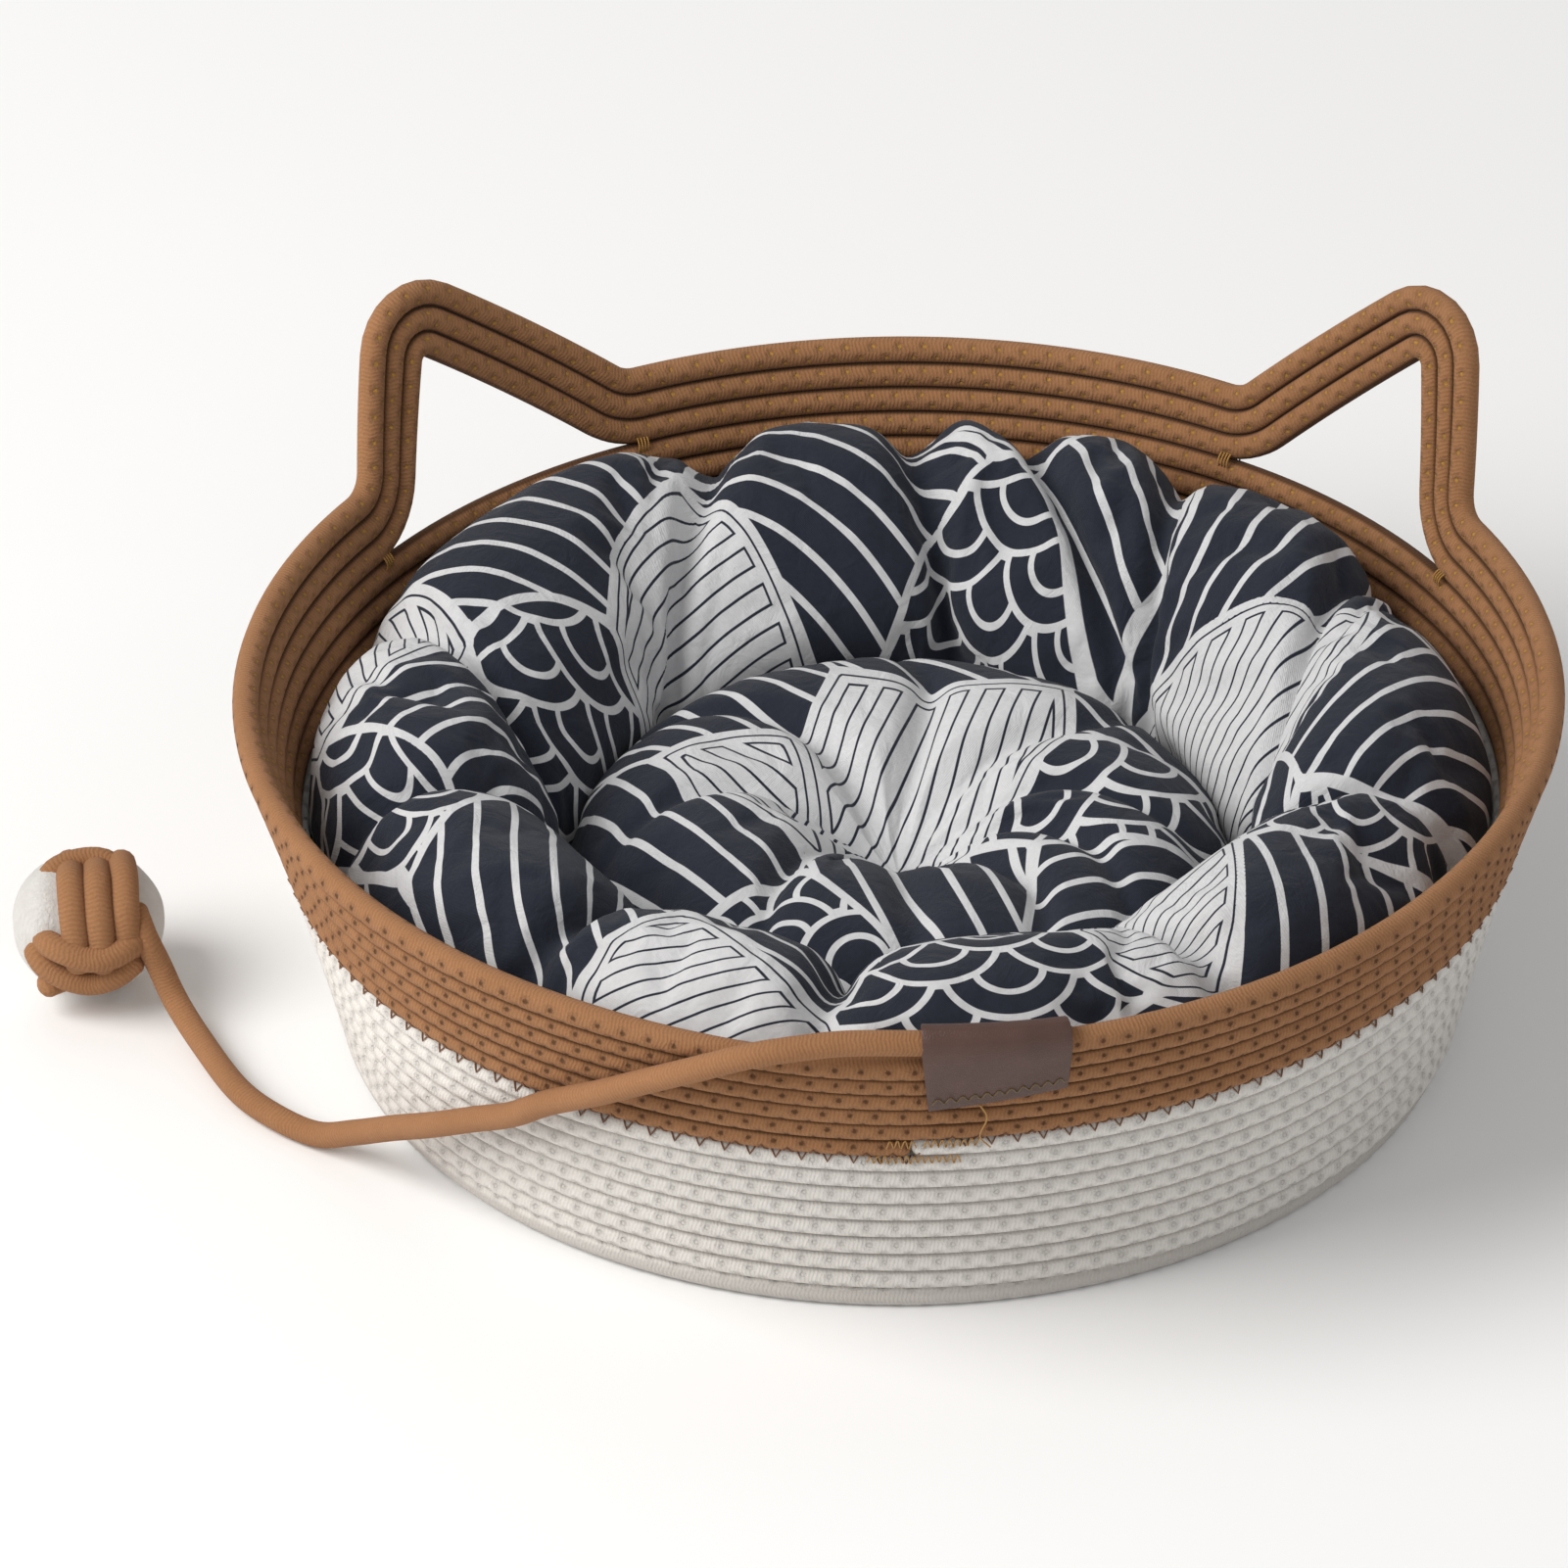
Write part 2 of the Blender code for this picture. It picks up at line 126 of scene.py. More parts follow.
def rope_mesh(name, route, outward=None, half_out=ROPE, half_side=ROPE, sides=12, round_ends=(True, True)):
    """A rope along the route, with domed ends.
    UV: metres along it, and the share of a turn round it from its outward side."""
    count = len(route)
    tangents = [(route[min(i + 1, count - 1)] - route[max(i - 1, 0)]).normalized() for i in range(count)]
    if outward is None:
        side = tangents[0].orthogonal().normalized()
        outward = []
        for tangent in tangents:
            side = (side - tangent * side.dot(tangent)).normalized()
            outward.append(side)
    rings = []
    along = 0.0
    for i in range(count):
        if i:
            along += (route[i] - route[i - 1]).length
        out = (outward[i] - tangents[i] * outward[i].dot(tangents[i])).normalized()
        width = half_side[i] if isinstance(half_side, list) else half_side
        rings.append((route[i], tangents[i], out, half_out, width, along))
    cap = 4
    if round_ends[0]:
        first = rings[0]
        ahead = []
        for step in range(1, cap + 1):
            turn = math.pi / 2 * step / cap
            shrink, reach = max(math.cos(turn), 0.04), math.sin(turn) * half_out * 0.7
            place = first[0] - first[1] * reach
            ahead.append((place, first[1], first[2], first[3] * shrink, first[4] * shrink, -reach))
        rings = ahead[::-1] + rings
    if round_ends[1]:
        last = rings[-1]
        for step in range(1, cap + 1):
            turn = math.pi / 2 * step / cap
            shrink, reach = max(math.cos(turn), 0.04), math.sin(turn) * half_out * 0.7
            place = last[0] + last[1] * reach
            rings.append((place, last[1], last[2], last[3] * shrink, last[4] * shrink, last[5] + reach))
    verts, faces, spots = [], [], []
    for place, tangent, out, high, wide, _ in rings:
        across = tangent.cross(out)
        for s in range(sides):
            turn = 2 * math.pi * s / sides
            verts.append(place + out * (high * math.cos(turn)) + across * (wide * math.sin(turn)))
    for i in range(len(rings) - 1):
        for s in range(sides):
            n = (s + 1) % sides
            faces.append((i * sides + s, i * sides + n, (i + 1) * sides + n, (i + 1) * sides + s))
            u0, u1 = rings[i][5], rings[i + 1][5]
            spots += [(u0, s / sides), (u0, (s + 1) / sides), (u1, (s + 1) / sides), (u1, s / sides)]
    faces.append(tuple(range(sides))[::-1])
    spots += [(rings[0][5], 0.0)] * sides
    faces.append(tuple((len(rings) - 1) * sides + s for s in range(sides)))
    spots += [(rings[-1][5], 0.0)] * sides
    mesh = bpy.data.meshes.new(name)
    mesh.from_pydata(verts, [], faces)
    layer = mesh.uv_layers.new(name="lay")
    for loop, spot in zip(layer.data, spots):
        loop.uv = spot
    for face in mesh.polygons:
        face.use_smooth = True
    return mesh


class Finish:
    """A material's node tree, built a node at a time."""

    def __init__(self, name, roughness, sheen=0.0, sheen_roughness=0.5, specular=0.3):
        self.material = bpy.data.materials.new(name)
        self.material.use_nodes = True
        self.tree = self.material.node_tree
        self.shader = self.tree.nodes["Principled BSDF"]
        self.shader.inputs["Roughness"].default_value = roughness
        self.shader.inputs["Sheen Weight"].default_value = sheen
        self.shader.inputs["Sheen Roughness"].default_value = sheen_roughness
        self.shader.inputs["Specular IOR Level"].default_value = specular

    def node(self, kind, settings=None, **sockets):
        made = self.tree.nodes.new(kind)
        for key, value in (settings or {}).items():
            setattr(made, key, value)
        for key, value in sockets.items():
            self.feed(made, key.replace("_", " "), value)
        return made

    def feed(self, target, key, value):
        socket = target.inputs[int(key)] if key.isdigit() else target.inputs[key]
        if isinstance(value, bpy.types.NodeSocket):
            self.tree.links.new(value, socket)
        else:
            socket.default_value = value

    def sum(self, operation, *values, clamp=False):
        made = self.node("ShaderNodeMath", {"operation": operation, "use_clamp": clamp})
        for i, value in enumerate(values):
            self.feed(made, str(i), value)
        return made.outputs[0]

    def spread(self, value, low, high, to_low=0.0, to_high=1.0):
        made = self.node("ShaderNodeMapRange", {"interpolation_type": "SMOOTHSTEP"})
        sockets = {"Value": value, "From Min": low, "From Max": high, "To Min": to_low, "To Max": to_high}
        for key, number in sockets.items():
            self.feed(made, key, number)
        return made.outputs[0]

    def mix(self, share, a, b, blend="MIX"):
        made = self.node("ShaderNodeMix", {"data_type": "RGBA", "blend_type": blend})
        self.feed(made, "0", share)
        for index, value in ((6, a), (7, b)):
            if isinstance(value, bpy.types.NodeSocket):
                self.tree.links.new(value, made.inputs[index])
            else:
                made.inputs[index].default_value = (*value, 1.0)
        return made.outputs[2]

    def grain(self, vector, scale, detail=3.0, rough=0.55, distortion=0.0):
        made = self.node("ShaderNodeTexNoise", Scale=scale, Detail=detail, Roughness=rough, Distortion=distortion)
        self.tree.links.new(vector, made.inputs["Vector"])
        return made.outputs["Fac"]

    def finish(self, colour, height, depth, strength=1.0):
        self.feed(self.shader, "Base Color", colour)
        bump = self.node("ShaderNodeBump", Strength=strength, Distance=depth, Height=height)
        self.tree.links.new(bump.outputs["Normal"], self.shader.inputs["Normal"])
        return self.material


rib_step = 0.00125
needle_step = 0.008
needle_share = 0.075
rope_girth = 0.0251


def cotton_rope(name, light, deep, groove_shade_colour, sewn, stitch, inner_stitch, groove_shade_share,
                hole_share=0.8, last_turn=1000.0):
    """Braided cotton: fine ribs across the rope, short fibres, and on sewn rope its needle holes and painted shade in
    the grooves between turns.
    Past `last_turn` metres along, no rope lies above, so that side gets no painted groove shade."""
    f = Finish(name, 0.95, sheen=0.04, sheen_roughness=0.6, specular=0.10)
    spot = f.node("ShaderNodeTexCoord")
    axis = f.node("ShaderNodeSeparateXYZ", Vector=spot.outputs["UV"])
    along, around = axis.outputs["X"], axis.outputs["Y"]
    body = spot.outputs["Object"]
    wobble = f.grain(body, 260.0, 2.0)
    fold = f.sum("PINGPONG", f.sum("MULTIPLY", around, 8.0), 1.0)
    slant = f.sum("ADD", f.sum("MULTIPLY", fold, 0.55), f.sum("MULTIPLY", wobble, 1.1))
    turn = f.sum("ADD", f.sum("MULTIPLY", along, 1 / rib_step), slant)
    rib = f.sum("SINE", f.sum("MULTIPLY", turn, 2 * math.pi))
    rib = f.sum("MULTIPLY_ADD", rib, 0.5, 0.5)
    fibres = f.grain(body, 1500.0, 4.0, 0.7)
    patches = f.grain(body, 45.0, 3.0)
    fuzz = f.sum("MULTIPLY_ADD", fibres, 0.75, f.sum("MULTIPLY_ADD", patches, 0.5, -0.28))
    pale = f.sum("MULTIPLY_ADD", rib, 0.22, fuzz, clamp=True)
    colour = f.mix(pale, deep, light)
    height = f.sum("MULTIPLY_ADD", rib, 0.30, f.sum("MULTIPLY", fibres, 0.80))
    if sewn:
        face_turn = f.sum("FLOORED_MODULO", f.sum("ADD", around, 0.25), 0.5)
        near = f.sum("ABSOLUTE", f.sum("SUBTRACT", face_turn, 0.25))
        upper = f.sum("GREATER_THAN", face_turn, 0.25)
        step = f.sum("ADD", f.sum("MULTIPLY", along, 1 / needle_step), f.sum("MULTIPLY", upper, 0.5))
        stroke = f.sum("FRACT", f.sum("MULTIPLY_ADD", patches, 0.5, step))
        apart = f.sum("MULTIPLY", f.sum("SUBTRACT", stroke, 0.5), needle_step)
        off = f.sum("MULTIPLY", f.sum("SUBTRACT", near, needle_share), rope_girth)
        reach = f.sum("SQRT", f.sum("ADD", f.sum("MULTIPLY", apart, apart), f.sum("MULTIPLY", off, off)))
        reach = f.sum("MULTIPLY_ADD", f.sum("SUBTRACT", fibres, 0.5), 0.0012, reach)
        hole = f.spread(reach, 0.0003, 0.0011, 1.0, 0.0)
        dent = f.spread(reach, 0.0003, 0.0024, 1.0, 0.0)
        # Painted shade: the colour darkens towards both sides of the rope, where it meets the turns above and below,
        # standing in for the shade in the grooves between them.
        groove_shade_mask = f.spread(near, 0.116, 0.180)
        open_edge = f.sum("MULTIPLY", f.sum("LESS_THAN", around, 0.5), f.sum("GREATER_THAN", along, last_turn))
        groove_shade_mask = f.sum("MULTIPLY", groove_shade_mask, f.sum("SUBTRACT", 1.0, open_edge))
        inside = f.sum("COMPARE", around, 0.5, 0.25)
        thread = f.mix(inside, stitch, inner_stitch)
        colour = f.mix(f.sum("MULTIPLY", groove_shade_mask, groove_shade_share), colour, groove_shade_colour)
        colour = f.mix(f.sum("MULTIPLY", hole, hole_share), colour, thread)
        height = f.sum("SUBTRACT", height, f.sum("ADD", f.sum("MULTIPLY", dent, 1.3), hole))
    return f.finish(colour, height, 0.0004, 0.9)


brown_light = (0.425, 0.215, 0.105)
brown_deep = (0.235, 0.107, 0.045)
# The darkest brown is painted shade for the grooves between turns; it also colours the needle dots on the brown
# rope's outer side.
brown_groove_shade_and_dots = (0.062, 0.026, 0.010)
tail_cotton = cotton_rope(
    "tail_cotton", brown_light, brown_deep, brown_groove_shade_and_dots, False, brown_groove_shade_and_dots, brown_groove_shade_and_dots, 0.0)

tail_route = [Vector(point) for point in (
    (0.0165, -0.1986, 0.1146), (0.0120, -0.1998, 0.1154), (-0.0075, -0.2026, 0.1168), (-0.0224, -0.2039, 0.1156),
    (-0.0373, -0.2034, 0.1122), (-0.0525, -0.1983, 0.1042), (-0.0678, -0.1906, 0.0946), (-0.0833, -0.1806, 0.0833),
    (-0.0990, -0.1685, 0.0715), (-0.1107, -0.1566, 0.0592), (-0.1233, -0.1428, 0.0481), (-0.1360, -0.1285, 0.0365),
    (-0.1489, -0.1117, 0.0240), (-0.1617, -0.0972, 0.0125), (-0.1735, -0.0868, 0.0048), (-0.1868, -0.0767, 0.0043),
    (-0.1990, -0.0620, 0.0043), (-0.2113, -0.0373, 0.0050), (-0.2200, -0.0222, 0.0100), (-0.2252, -0.0168, 0.0192),
    (-0.2292, -0.0156, 0.0282), (-0.2325, -0.0106, 0.0345),
)]
tail_line = smooth_line(tail_route, 0.0025)
tail = put_in_scene("tail_cord", rope_mesh("tail_cord", tail_line, sides=16))
tail.data.materials.append(tail_cotton)
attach(tail, "tail")
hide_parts("tail_rope")

# ---------------------------------------------------------------------------
# Knotted ball: the tail's end is wound round a fluffy white cotton ball as a monkey's fist.
# Three passes go over the front and top, two cross below them, one closes the top behind, and the cut end
# stands out underneath.

ball_low, ball_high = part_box("tail_ball_core")
ball_middle = (ball_low + ball_high) / 2
ball_radius = (ball_high.x - ball_low.x) / 2

bpy.ops.object.select_all(action="DESELECT")
bpy.ops.mesh.primitive_uv_sphere_add(segments=48, ring_count=32, radius=1.0, location=(0, 0, 0))
ball = bpy.context.object
ball.name = "ball_core"
bpy.ops.object.mode_set(mode="EDIT")
bpy.ops.mesh.select_all(action="SELECT")
bpy.ops.transform.resize(value=(ball_radius * 0.955, ball_radius * 0.955, ball_radius * 0.985))
bpy.ops.transform.rotate(value=math.pi / 2, orient_axis="Y", center_override=(0, 0, 0))
bpy.ops.object.mode_set(mode="OBJECT")
for vert in ball.data.vertices:
    share = abs(vert.co.x) / ball_radius
    waist = 0.82 + 0.18 * min(1.0, max(0.0, (share - 0.36) / 0.26)) ** 0.7
    lump = 1.0 + 0.025 * noise.noise(vert.co * 90.0)
    vert.co = Vector((vert.co.x, vert.co.y * waist, vert.co.z * waist)) * lump + ball_middle
bpy.ops.object.shade_smooth()

f = Finish("ball_fluff", 0.95, sheen=0.3, specular=0.1)
spot = f.node("ShaderNodeTexCoord")
long_way = f.node("ShaderNodeMapping", Vector=spot.outputs["Object"], Scale=(1.0, 1.0, 0.25))
strands = f.grain(long_way.outputs["Vector"], 900.0, 4.0, 0.7, 0.6)
clumps = f.grain(spot.outputs["Object"], 160.0, 3.0)
fluff = f.sum("MULTIPLY_ADD", clumps, 0.6, f.sum("MULTIPLY", strands, 0.5), clamp=True)
colour = f.mix(fluff, (0.50, 0.475, 0.445), (0.69, 0.675, 0.65))
ball.data.materials.append(f.finish(colour, f.sum("ADD", strands, f.sum("MULTIPLY", clumps, 0.8)), 0.0006))
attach(ball, "tail")
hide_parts("tail_ball_core")


def ball_pass(name, stops, nodes, side=ROPE * 0.98):
    """One pass of the knot: a rope through points given as (sideways, turn in degrees, reach) round the ball."""
    points = []
    for across, turn, reach in stops:
        angle = math.radians(turn)
        points.append(ball_middle + Vector((across, -reach * math.cos(angle), reach * math.sin(angle))))
    line = smooth_line(points, 0.002)
    outward = []
    for point in line:
        away = point - ball_middle
        outward.append(Vector((away.x * 0.3, away.y, away.z)).normalized())
    made = put_in_scene(name, rope_mesh(name, line, outward, ROPE, side, 14))
    made.data.materials.append(tail_cotton)
    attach(made, "tail")
    if nodes:
        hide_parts(*nodes)
    return made


over = 0.0196
knot = [
    ball_pass("knot_over_left", [
        (-0.0018, -8, over), (-0.0022, 8, over + 0.0008), (-0.0034, 36, over + 0.0014), (-0.0046, 66, over + 0.0008),
        (-0.0052, 90, over - 0.0024), (-0.0056, 114, over - 0.0040), (-0.0066, 150, over), (-0.0076, 200, over),
        (-0.0080, 262, over),
    ], ["tail_knot_upright_1"], 0.0044),
    ball_pass("knot_over_middle", [
        (0.0058, -8, over), (0.0056, 8, over + 0.0008), (0.0046, 36, over + 0.0018), (0.0036, 66, over + 0.0014),
        (0.0030, 90, over - 0.0014), (0.0022, 114, over - 0.0032), (0.0012, 150, over), (0.0002, 200, over),
        (0.0000, 262, over),
    ], ["tail_knot_upright_2"], 0.0044),
    ball_pass("knot_over_right", [
        (0.0138, 2, over - 0.0034), (0.0130, 18, over - 0.0012), (0.0124, 44, over + 0.0004),
        (0.0116, 74, over + 0.0004), (0.0106, 98, over - 0.0010), (0.0098, 124, over - 0.0014),
        (0.0090, 160, over), (0.0084, 210, over), (0.0081, 262, over),
    ], ["tail_knot_upright_3"], 0.0044),
    ball_pass("knot_over_top", [
        (-0.0122, 94, 0.0136), (-0.0104, 102, 0.0160), (-0.0060, 110, 0.0180), (-0.0006, 114, 0.0190),
        (0.0044, 114, 0.0188), (0.0080, 110, 0.0168),
    ], [], 0.0042),
    ball_pass("knot_cross_upper", [
        (-0.0124, 10, 0.0150), (-0.0102, 11, 0.0196), (-0.0058, 8, 0.0222), (0.0014, 3, 0.0230),
        (0.0084, 5, 0.0222), (0.0134, 11, 0.0198), (0.0158, 17, 0.0160),
    ], ["tail_knot_cross_1"], 0.0042),
    ball_pass("knot_cross_lower", [
        (-0.0150, -4, 0.0150), (-0.0134, -9, 0.0178), (-0.0102, -16, 0.0198), (-0.0052, -22, 0.0212),
        (0.0017, -26, 0.0216), (0.0087, -20, 0.0208), (0.0146, -10, 0.0176),
    ], ["tail_knot_cross_2"], 0.0042),
    ball_pass("knot_under", [
        (-0.0090, -42, 0.0165), (-0.0040, -48, 0.0180), (0.0010, -50, 0.0183), (0.0064, -46, 0.0176),
    ], [], 0.0041),
    ball_pass("knot_end", [
        (-0.0062, -44, 0.0176), (-0.0098, -40, 0.0194), (-0.0116, -36, 0.0208),
    ], ["tail_knot_stub"], ROPE),
]

# ---------------------------------------------------------------------------
# White rope: one 8 mm cotton rope, sewn edge to edge with zig-zag thread as it winds.
# It starts as a flat spiral for the base, then climbs nine turns up the leaning wall.

foot_low, foot_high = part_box("white_course_01")
foot_radius = foot_high.x - 0.95 * ROPE
foot_flare, rim_flare = math.radians(13.5), math.radians(19.5)
white_pitch, brown_pitch = 0.0076, 0.0071
white_turns, brown_turns = 9, 6
rim_along = 9.5 * white_pitch + 5.5 * brown_pitch
splice = math.radians(3.9)


def wall_point(along, outwards=0.0):
    """Radius and height on the wall's middle surface, `along` the slope from the lowest course."""
    bend = (rim_flare - foot_flare) / rim_along
    flare = foot_flare + bend * min(max(along, 0.0), rim_along)
    beyond = max(along - rim_along, 0.0)
    out = (math.cos(foot_flare) - math.cos(flare)) / bend + beyond * math.sin(flare)
    up = (math.sin(flare) - math.sin(foot_flare)) / bend + beyond * math.cos(flare)
    return foot_radius + out + outwards * math.cos(flare), ROPE + up - outwards * math.sin(flare)


def wall_place(azimuth, along, outwards=0.0):
    radius, height = wall_point(along, outwards)
    return Vector((radius * math.sin(azimuth), -radius * math.cos(azimuth), height))


def wall_outward(azimuth, along):
    return (wall_place(azimuth, along, 0.001) - wall_place(azimuth, along)).normalized()


route, outward = [], []
turned = 0.0
base_turns, base_pitch = 21.5, 0.00765
while turned < base_turns:
    radius = foot_radius - (base_turns - turned) * base_pitch
    azimuth = splice - 2 * math.pi * (turned - base_turns)
    route.append(Vector((radius * math.sin(azimuth), -radius * math.cos(azimuth), ROPE)))
    outward.append(Vector((0, 0, 1)))
    turned += 0.0075 / (2 * math.pi * max(radius, 0.012))
steps = 150
for step in range(white_turns * steps + 1):
    azimuth = splice - 2 * math.pi * step / steps
    along = white_pitch * step / steps
    route.append(wall_place(azimuth, along))
    share = min(1.0, step / (steps * 0.5))
    outward.append(Vector((0, 0, 1)).lerp(wall_outward(azimuth, along), share).normalized())
white_rope = put_in_scene("white_rope", rope_mesh("white_rope", route, outward, ROPE, 0.00395, 12))
# The third white colour is painted shade for the grooves between turns.
white_light, white_deep, white_groove_shade = (0.82, 0.79, 0.75), (0.64, 0.605, 0.565), (0.36, 0.33, 0.30)
white_stitch, white_inner_stitch = (0.56, 0.52, 0.48), (0.60, 0.56, 0.51)
white_rope.data.materials.append(cotton_rope(
    "white_cotton", white_light, white_deep, white_groove_shade, True, white_stitch, white_inner_stitch, 0.5, 0.45))
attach(white_rope, "basket")
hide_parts("base_coil", *[f"white_course_{n:02d}" for n in range(1, 11)])

# ---------------------------------------------------------------------------
# Brown rope: the same rope dyed tan, spliced to the white one and wound six turns more.
# The last three turns leave the wall twice at the back and go round the two ear openings.

ear_reach = 0.202
right_ear = (math.radians(54.6), math.radians(48.0), math.radians(32.6), 0.0355)
left_ear = (math.radians(53.7), math.radians(46.8), math.radians(29.3), 0.0305)
ear_fillet = 0.030


def white_top(share):
    """How far up the slope the last white turn is, by the share of the turn done since the splice."""
    return white_pitch * (white_turns - 1 + share)


def brown_along(turn, share):
    """How far up the slope the brown rope is: turn 1 to 6, and the share of that turn done."""
    white = white_top(share)
    sag = brown_pitch * (0.12 * (1 - share) + 0.88 * math.exp(-((share / 0.07) ** 2)))
    top = rim_along - sag
    level = white + (top - white) * turn / brown_turns
    if turn > 1:
        start_top = rim_along - brown_pitch
        here = white_top(0) + (start_top - white_top(0)) * turn / brown_turns
        before = white_top(1) + (rim_along - white_top(1)) * (turn - 1) / brown_turns
        level += (before - here) * math.exp(-((share / 0.05) ** 2))
    return level


def meet(point, direction, other, other_direction):
    across = direction.x * other_direction.y - direction.y * other_direction.x
    gap = other - point
    return point + direction * ((gap.x * other_direction.y - gap.y * other_direction.x) / across)


def ear_line(offset, ear):
    """One ear's line at `offset` outside its opening, as (angle round from the back, height above its course)."""
    band = 3 * brown_pitch
    ear_outer, ear_top, ear_inner, ear_top_height = ear
    outer = Vector((ear_outer * ear_reach, -band))
    top = Vector((ear_top * ear_reach, ear_top_height))
    inner = Vector((ear_inner * ear_reach, -band))
    rise, fall = (top - inner).normalized(), (outer - top).normalized()
    inside = inner + Vector((-rise.y, rise.x)) * offset
    outside = outer + Vector((-fall.y, fall.x)) * offset
    level = Vector((0.0, -band + offset))
    flat = Vector((1.0, 0.0))
    corners = [
        level, meet(inside, rise, level, flat), meet(inside, rise, outside, fall), meet(outside, fall, level, flat),
        Vector((math.radians(75) * ear_reach, level.y)),
    ]
    radii = (0, ear_fillet - offset, offset + 0.002, ear_fillet - offset, 0)
    line = []
    for i, corner in enumerate(corners):
        if radii[i] == 0:
            line.append(corner)
            continue
        before, after = (corners[i - 1] - corner).normalized(), (corners[i + 1] - corner).normalized()
        half = before.angle(after) / 2
        start = corner + before * radii[i] / math.tan(half)
        end = corner + after * radii[i] / math.tan(half)
        centre = corner + (before + after).normalized() * radii[i] / math.sin(half)
        turn = math.pi - 2 * half
        for j in range(9):
            share = j / 8
            arm = (start - centre) * math.sin((1 - share) * turn) + (end - centre) * math.sin(share * turn)
            line.append(centre + arm / math.sin(turn))
    fuller = [line[0]]
    for start, end in zip(line, line[1:]):
        pieces = max(1, math.ceil((end - start).length / 0.006))
        fuller += [start.lerp(end, (j + 1) / pieces) for j in range(pieces)]
    return [(point.x / ear_reach, point.y - level.y) for point in fuller]


def brown_turn(turn):
    """The (azimuth, along) points of one turn of brown rope, from the splice round by the left and back."""
    points = []
    if turn <= 3:
        for step in range(240):
            share = step / 240
            points.append((splice - 2 * math.pi * share, brown_along(turn, share)))
        return points
    left = ear_line((turn - 3.5) * brown_pitch, left_ear)
    right = ear_line((turn - 3.5) * brown_pitch, right_ear)
    reach = left[-1][0]
    stations = []
    step = math.radians(1.5)
    azimuth = 0.0
    while azimuth < math.pi - reach + splice - step / 2:
        stations.append((splice - azimuth, 0.0))
        azimuth += step
    for around, above in reversed(left):
        stations.append((-math.pi + around, above))
    for around, above in right[1:]:
        stations.append((-math.pi - around, above))
    azimuth = -math.pi - reach - step
    while azimuth > splice - 2 * math.pi + step / 2:
        stations.append((azimuth, 0.0))
        azimuth -= step
    for azimuth, above in stations:
        share = (splice - azimuth) / (2 * math.pi)
        points.append((azimuth, brown_along(turn, share) + above))
    return points


stations = []
for turn in range(1, brown_turns + 1):
    before_last = len(stations)
    stations += brown_turn(turn)
rope_stop = math.radians(5.2) - 2 * math.pi
stations = [station for station in stations if station[0] > rope_stop or station[1] < rim_along - 0.002]
route = [wall_place(azimuth, along) for azimuth, along in stations]
outward = [wall_outward(azimuth, along) for azimuth, along in stations]
widths = []
for azimuth, along in stations:
    share = ((splice - azimuth) / (2 * math.pi)) % 1.0
    spacing = (rim_along - white_top(share)) / brown_turns
    widths.append(min(0.0041, spacing * 0.52))
brown_rope = put_in_scene("brown_rope", rope_mesh("brown_rope", route[1:], outward[1:], ROPE, widths[1:], 14))
brown_rope.data.materials.append(cotton_rope(
    "brown_cotton", brown_light, brown_deep, brown_groove_shade_and_dots, True, brown_groove_shade_and_dots, (0.46, 0.24, 0.05), 0.84,
    last_turn=line_length(route[1:before_last])))
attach(brown_rope, "basket")
brown_nodes = [f"brown_course_{n}" for n in (11, 12, 13)] + [f"brown_ear_course_{n}" for n in (14, 15, 16)]
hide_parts(*brown_nodes)

# ---------------------------------------------------------------------------
# Brown zig-zag thread: sews the first brown turn down on the last white one.
# Only here does it show, as a row of small brown Vs on the white rope.


def thread_mesh(name, line, thickness, sides=5):
    return rope_mesh(name, line, None, thickness / 2, thickness / 2, sides)


def on_rope(azimuth, centre_along, turn, clear):
    """A point on a rope's surface, `turn` radians up the slope from its outermost line."""
    return wall_place(azimuth, centre_along + (ROPE + clear) * math.sin(turn), (ROPE + clear) * math.cos(turn))


line = []
wall_radius = 0.190
stitch_step = 0.004 / wall_radius
for step in range(int(2 * math.pi / stitch_step)):
    start = splice - stitch_step * step
    for part in range(6):
        azimuth = start - stitch_step * part / 6
        share = (splice - azimuth) / (2 * math.pi)
        white, brown = white_top(share), brown_along(1, share)
        swing = part / 6 if step % 2 else 1 - part / 6
        if swing < 0.5:
            line.append(on_rope(azimuth, white, math.radians(26 + 2 * swing * 50), 0.0002))
        else:
            line.append(on_rope(azimuth, brown, math.radians(-70 + (swing - 0.5) * 2 * 70), 0.0002))
zigzag = put_in_scene("boundary_zigzag", thread_mesh("boundary_zigzag", line, 0.00055, 4))


def sewing_thread(name, light, deep):
    f = Finish(name, 0.7, sheen=0.2, specular=0.3)
    spot = f.node("ShaderNodeTexCoord")
    axis = f.node("ShaderNodeSeparateXYZ", Vector=spot.outputs["UV"])
    along = f.sum("MULTIPLY", axis.outputs["X"], 2 * math.pi / 0.0007)
    ply = f.sum("SINE", f.sum("ADD", along, f.sum("MULTIPLY", axis.outputs["Y"], 2 * math.pi)))
    ply = f.sum("MULTIPLY_ADD", ply, 0.5, 0.5)
    shade = f.grain(spot.outputs["Object"], 300.0, 2.0)
    colour = f.mix(f.sum("MULTIPLY_ADD", ply, 0.5, f.sum("MULTIPLY", shade, 0.5), clamp=True), deep, light)
    return f.finish(colour, ply, 0.0001)


brown_thread = sewing_thread("brown_thread", (0.30, 0.14, 0.06), (0.12, 0.05, 0.02))
ochre_thread = sewing_thread("ochre_thread", (0.55, 0.30, 0.07), (0.30, 0.14, 0.03))
zigzag.data.materials.append(brown_thread)
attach(zigzag, "basket")

# ---------------------------------------------------------------------------
# Splice: where the brown rope takes over from the white one, both ends are sewn down by hand.
# The golden zig-zag is denser and less even than the machine's, and one thread end hangs loose.


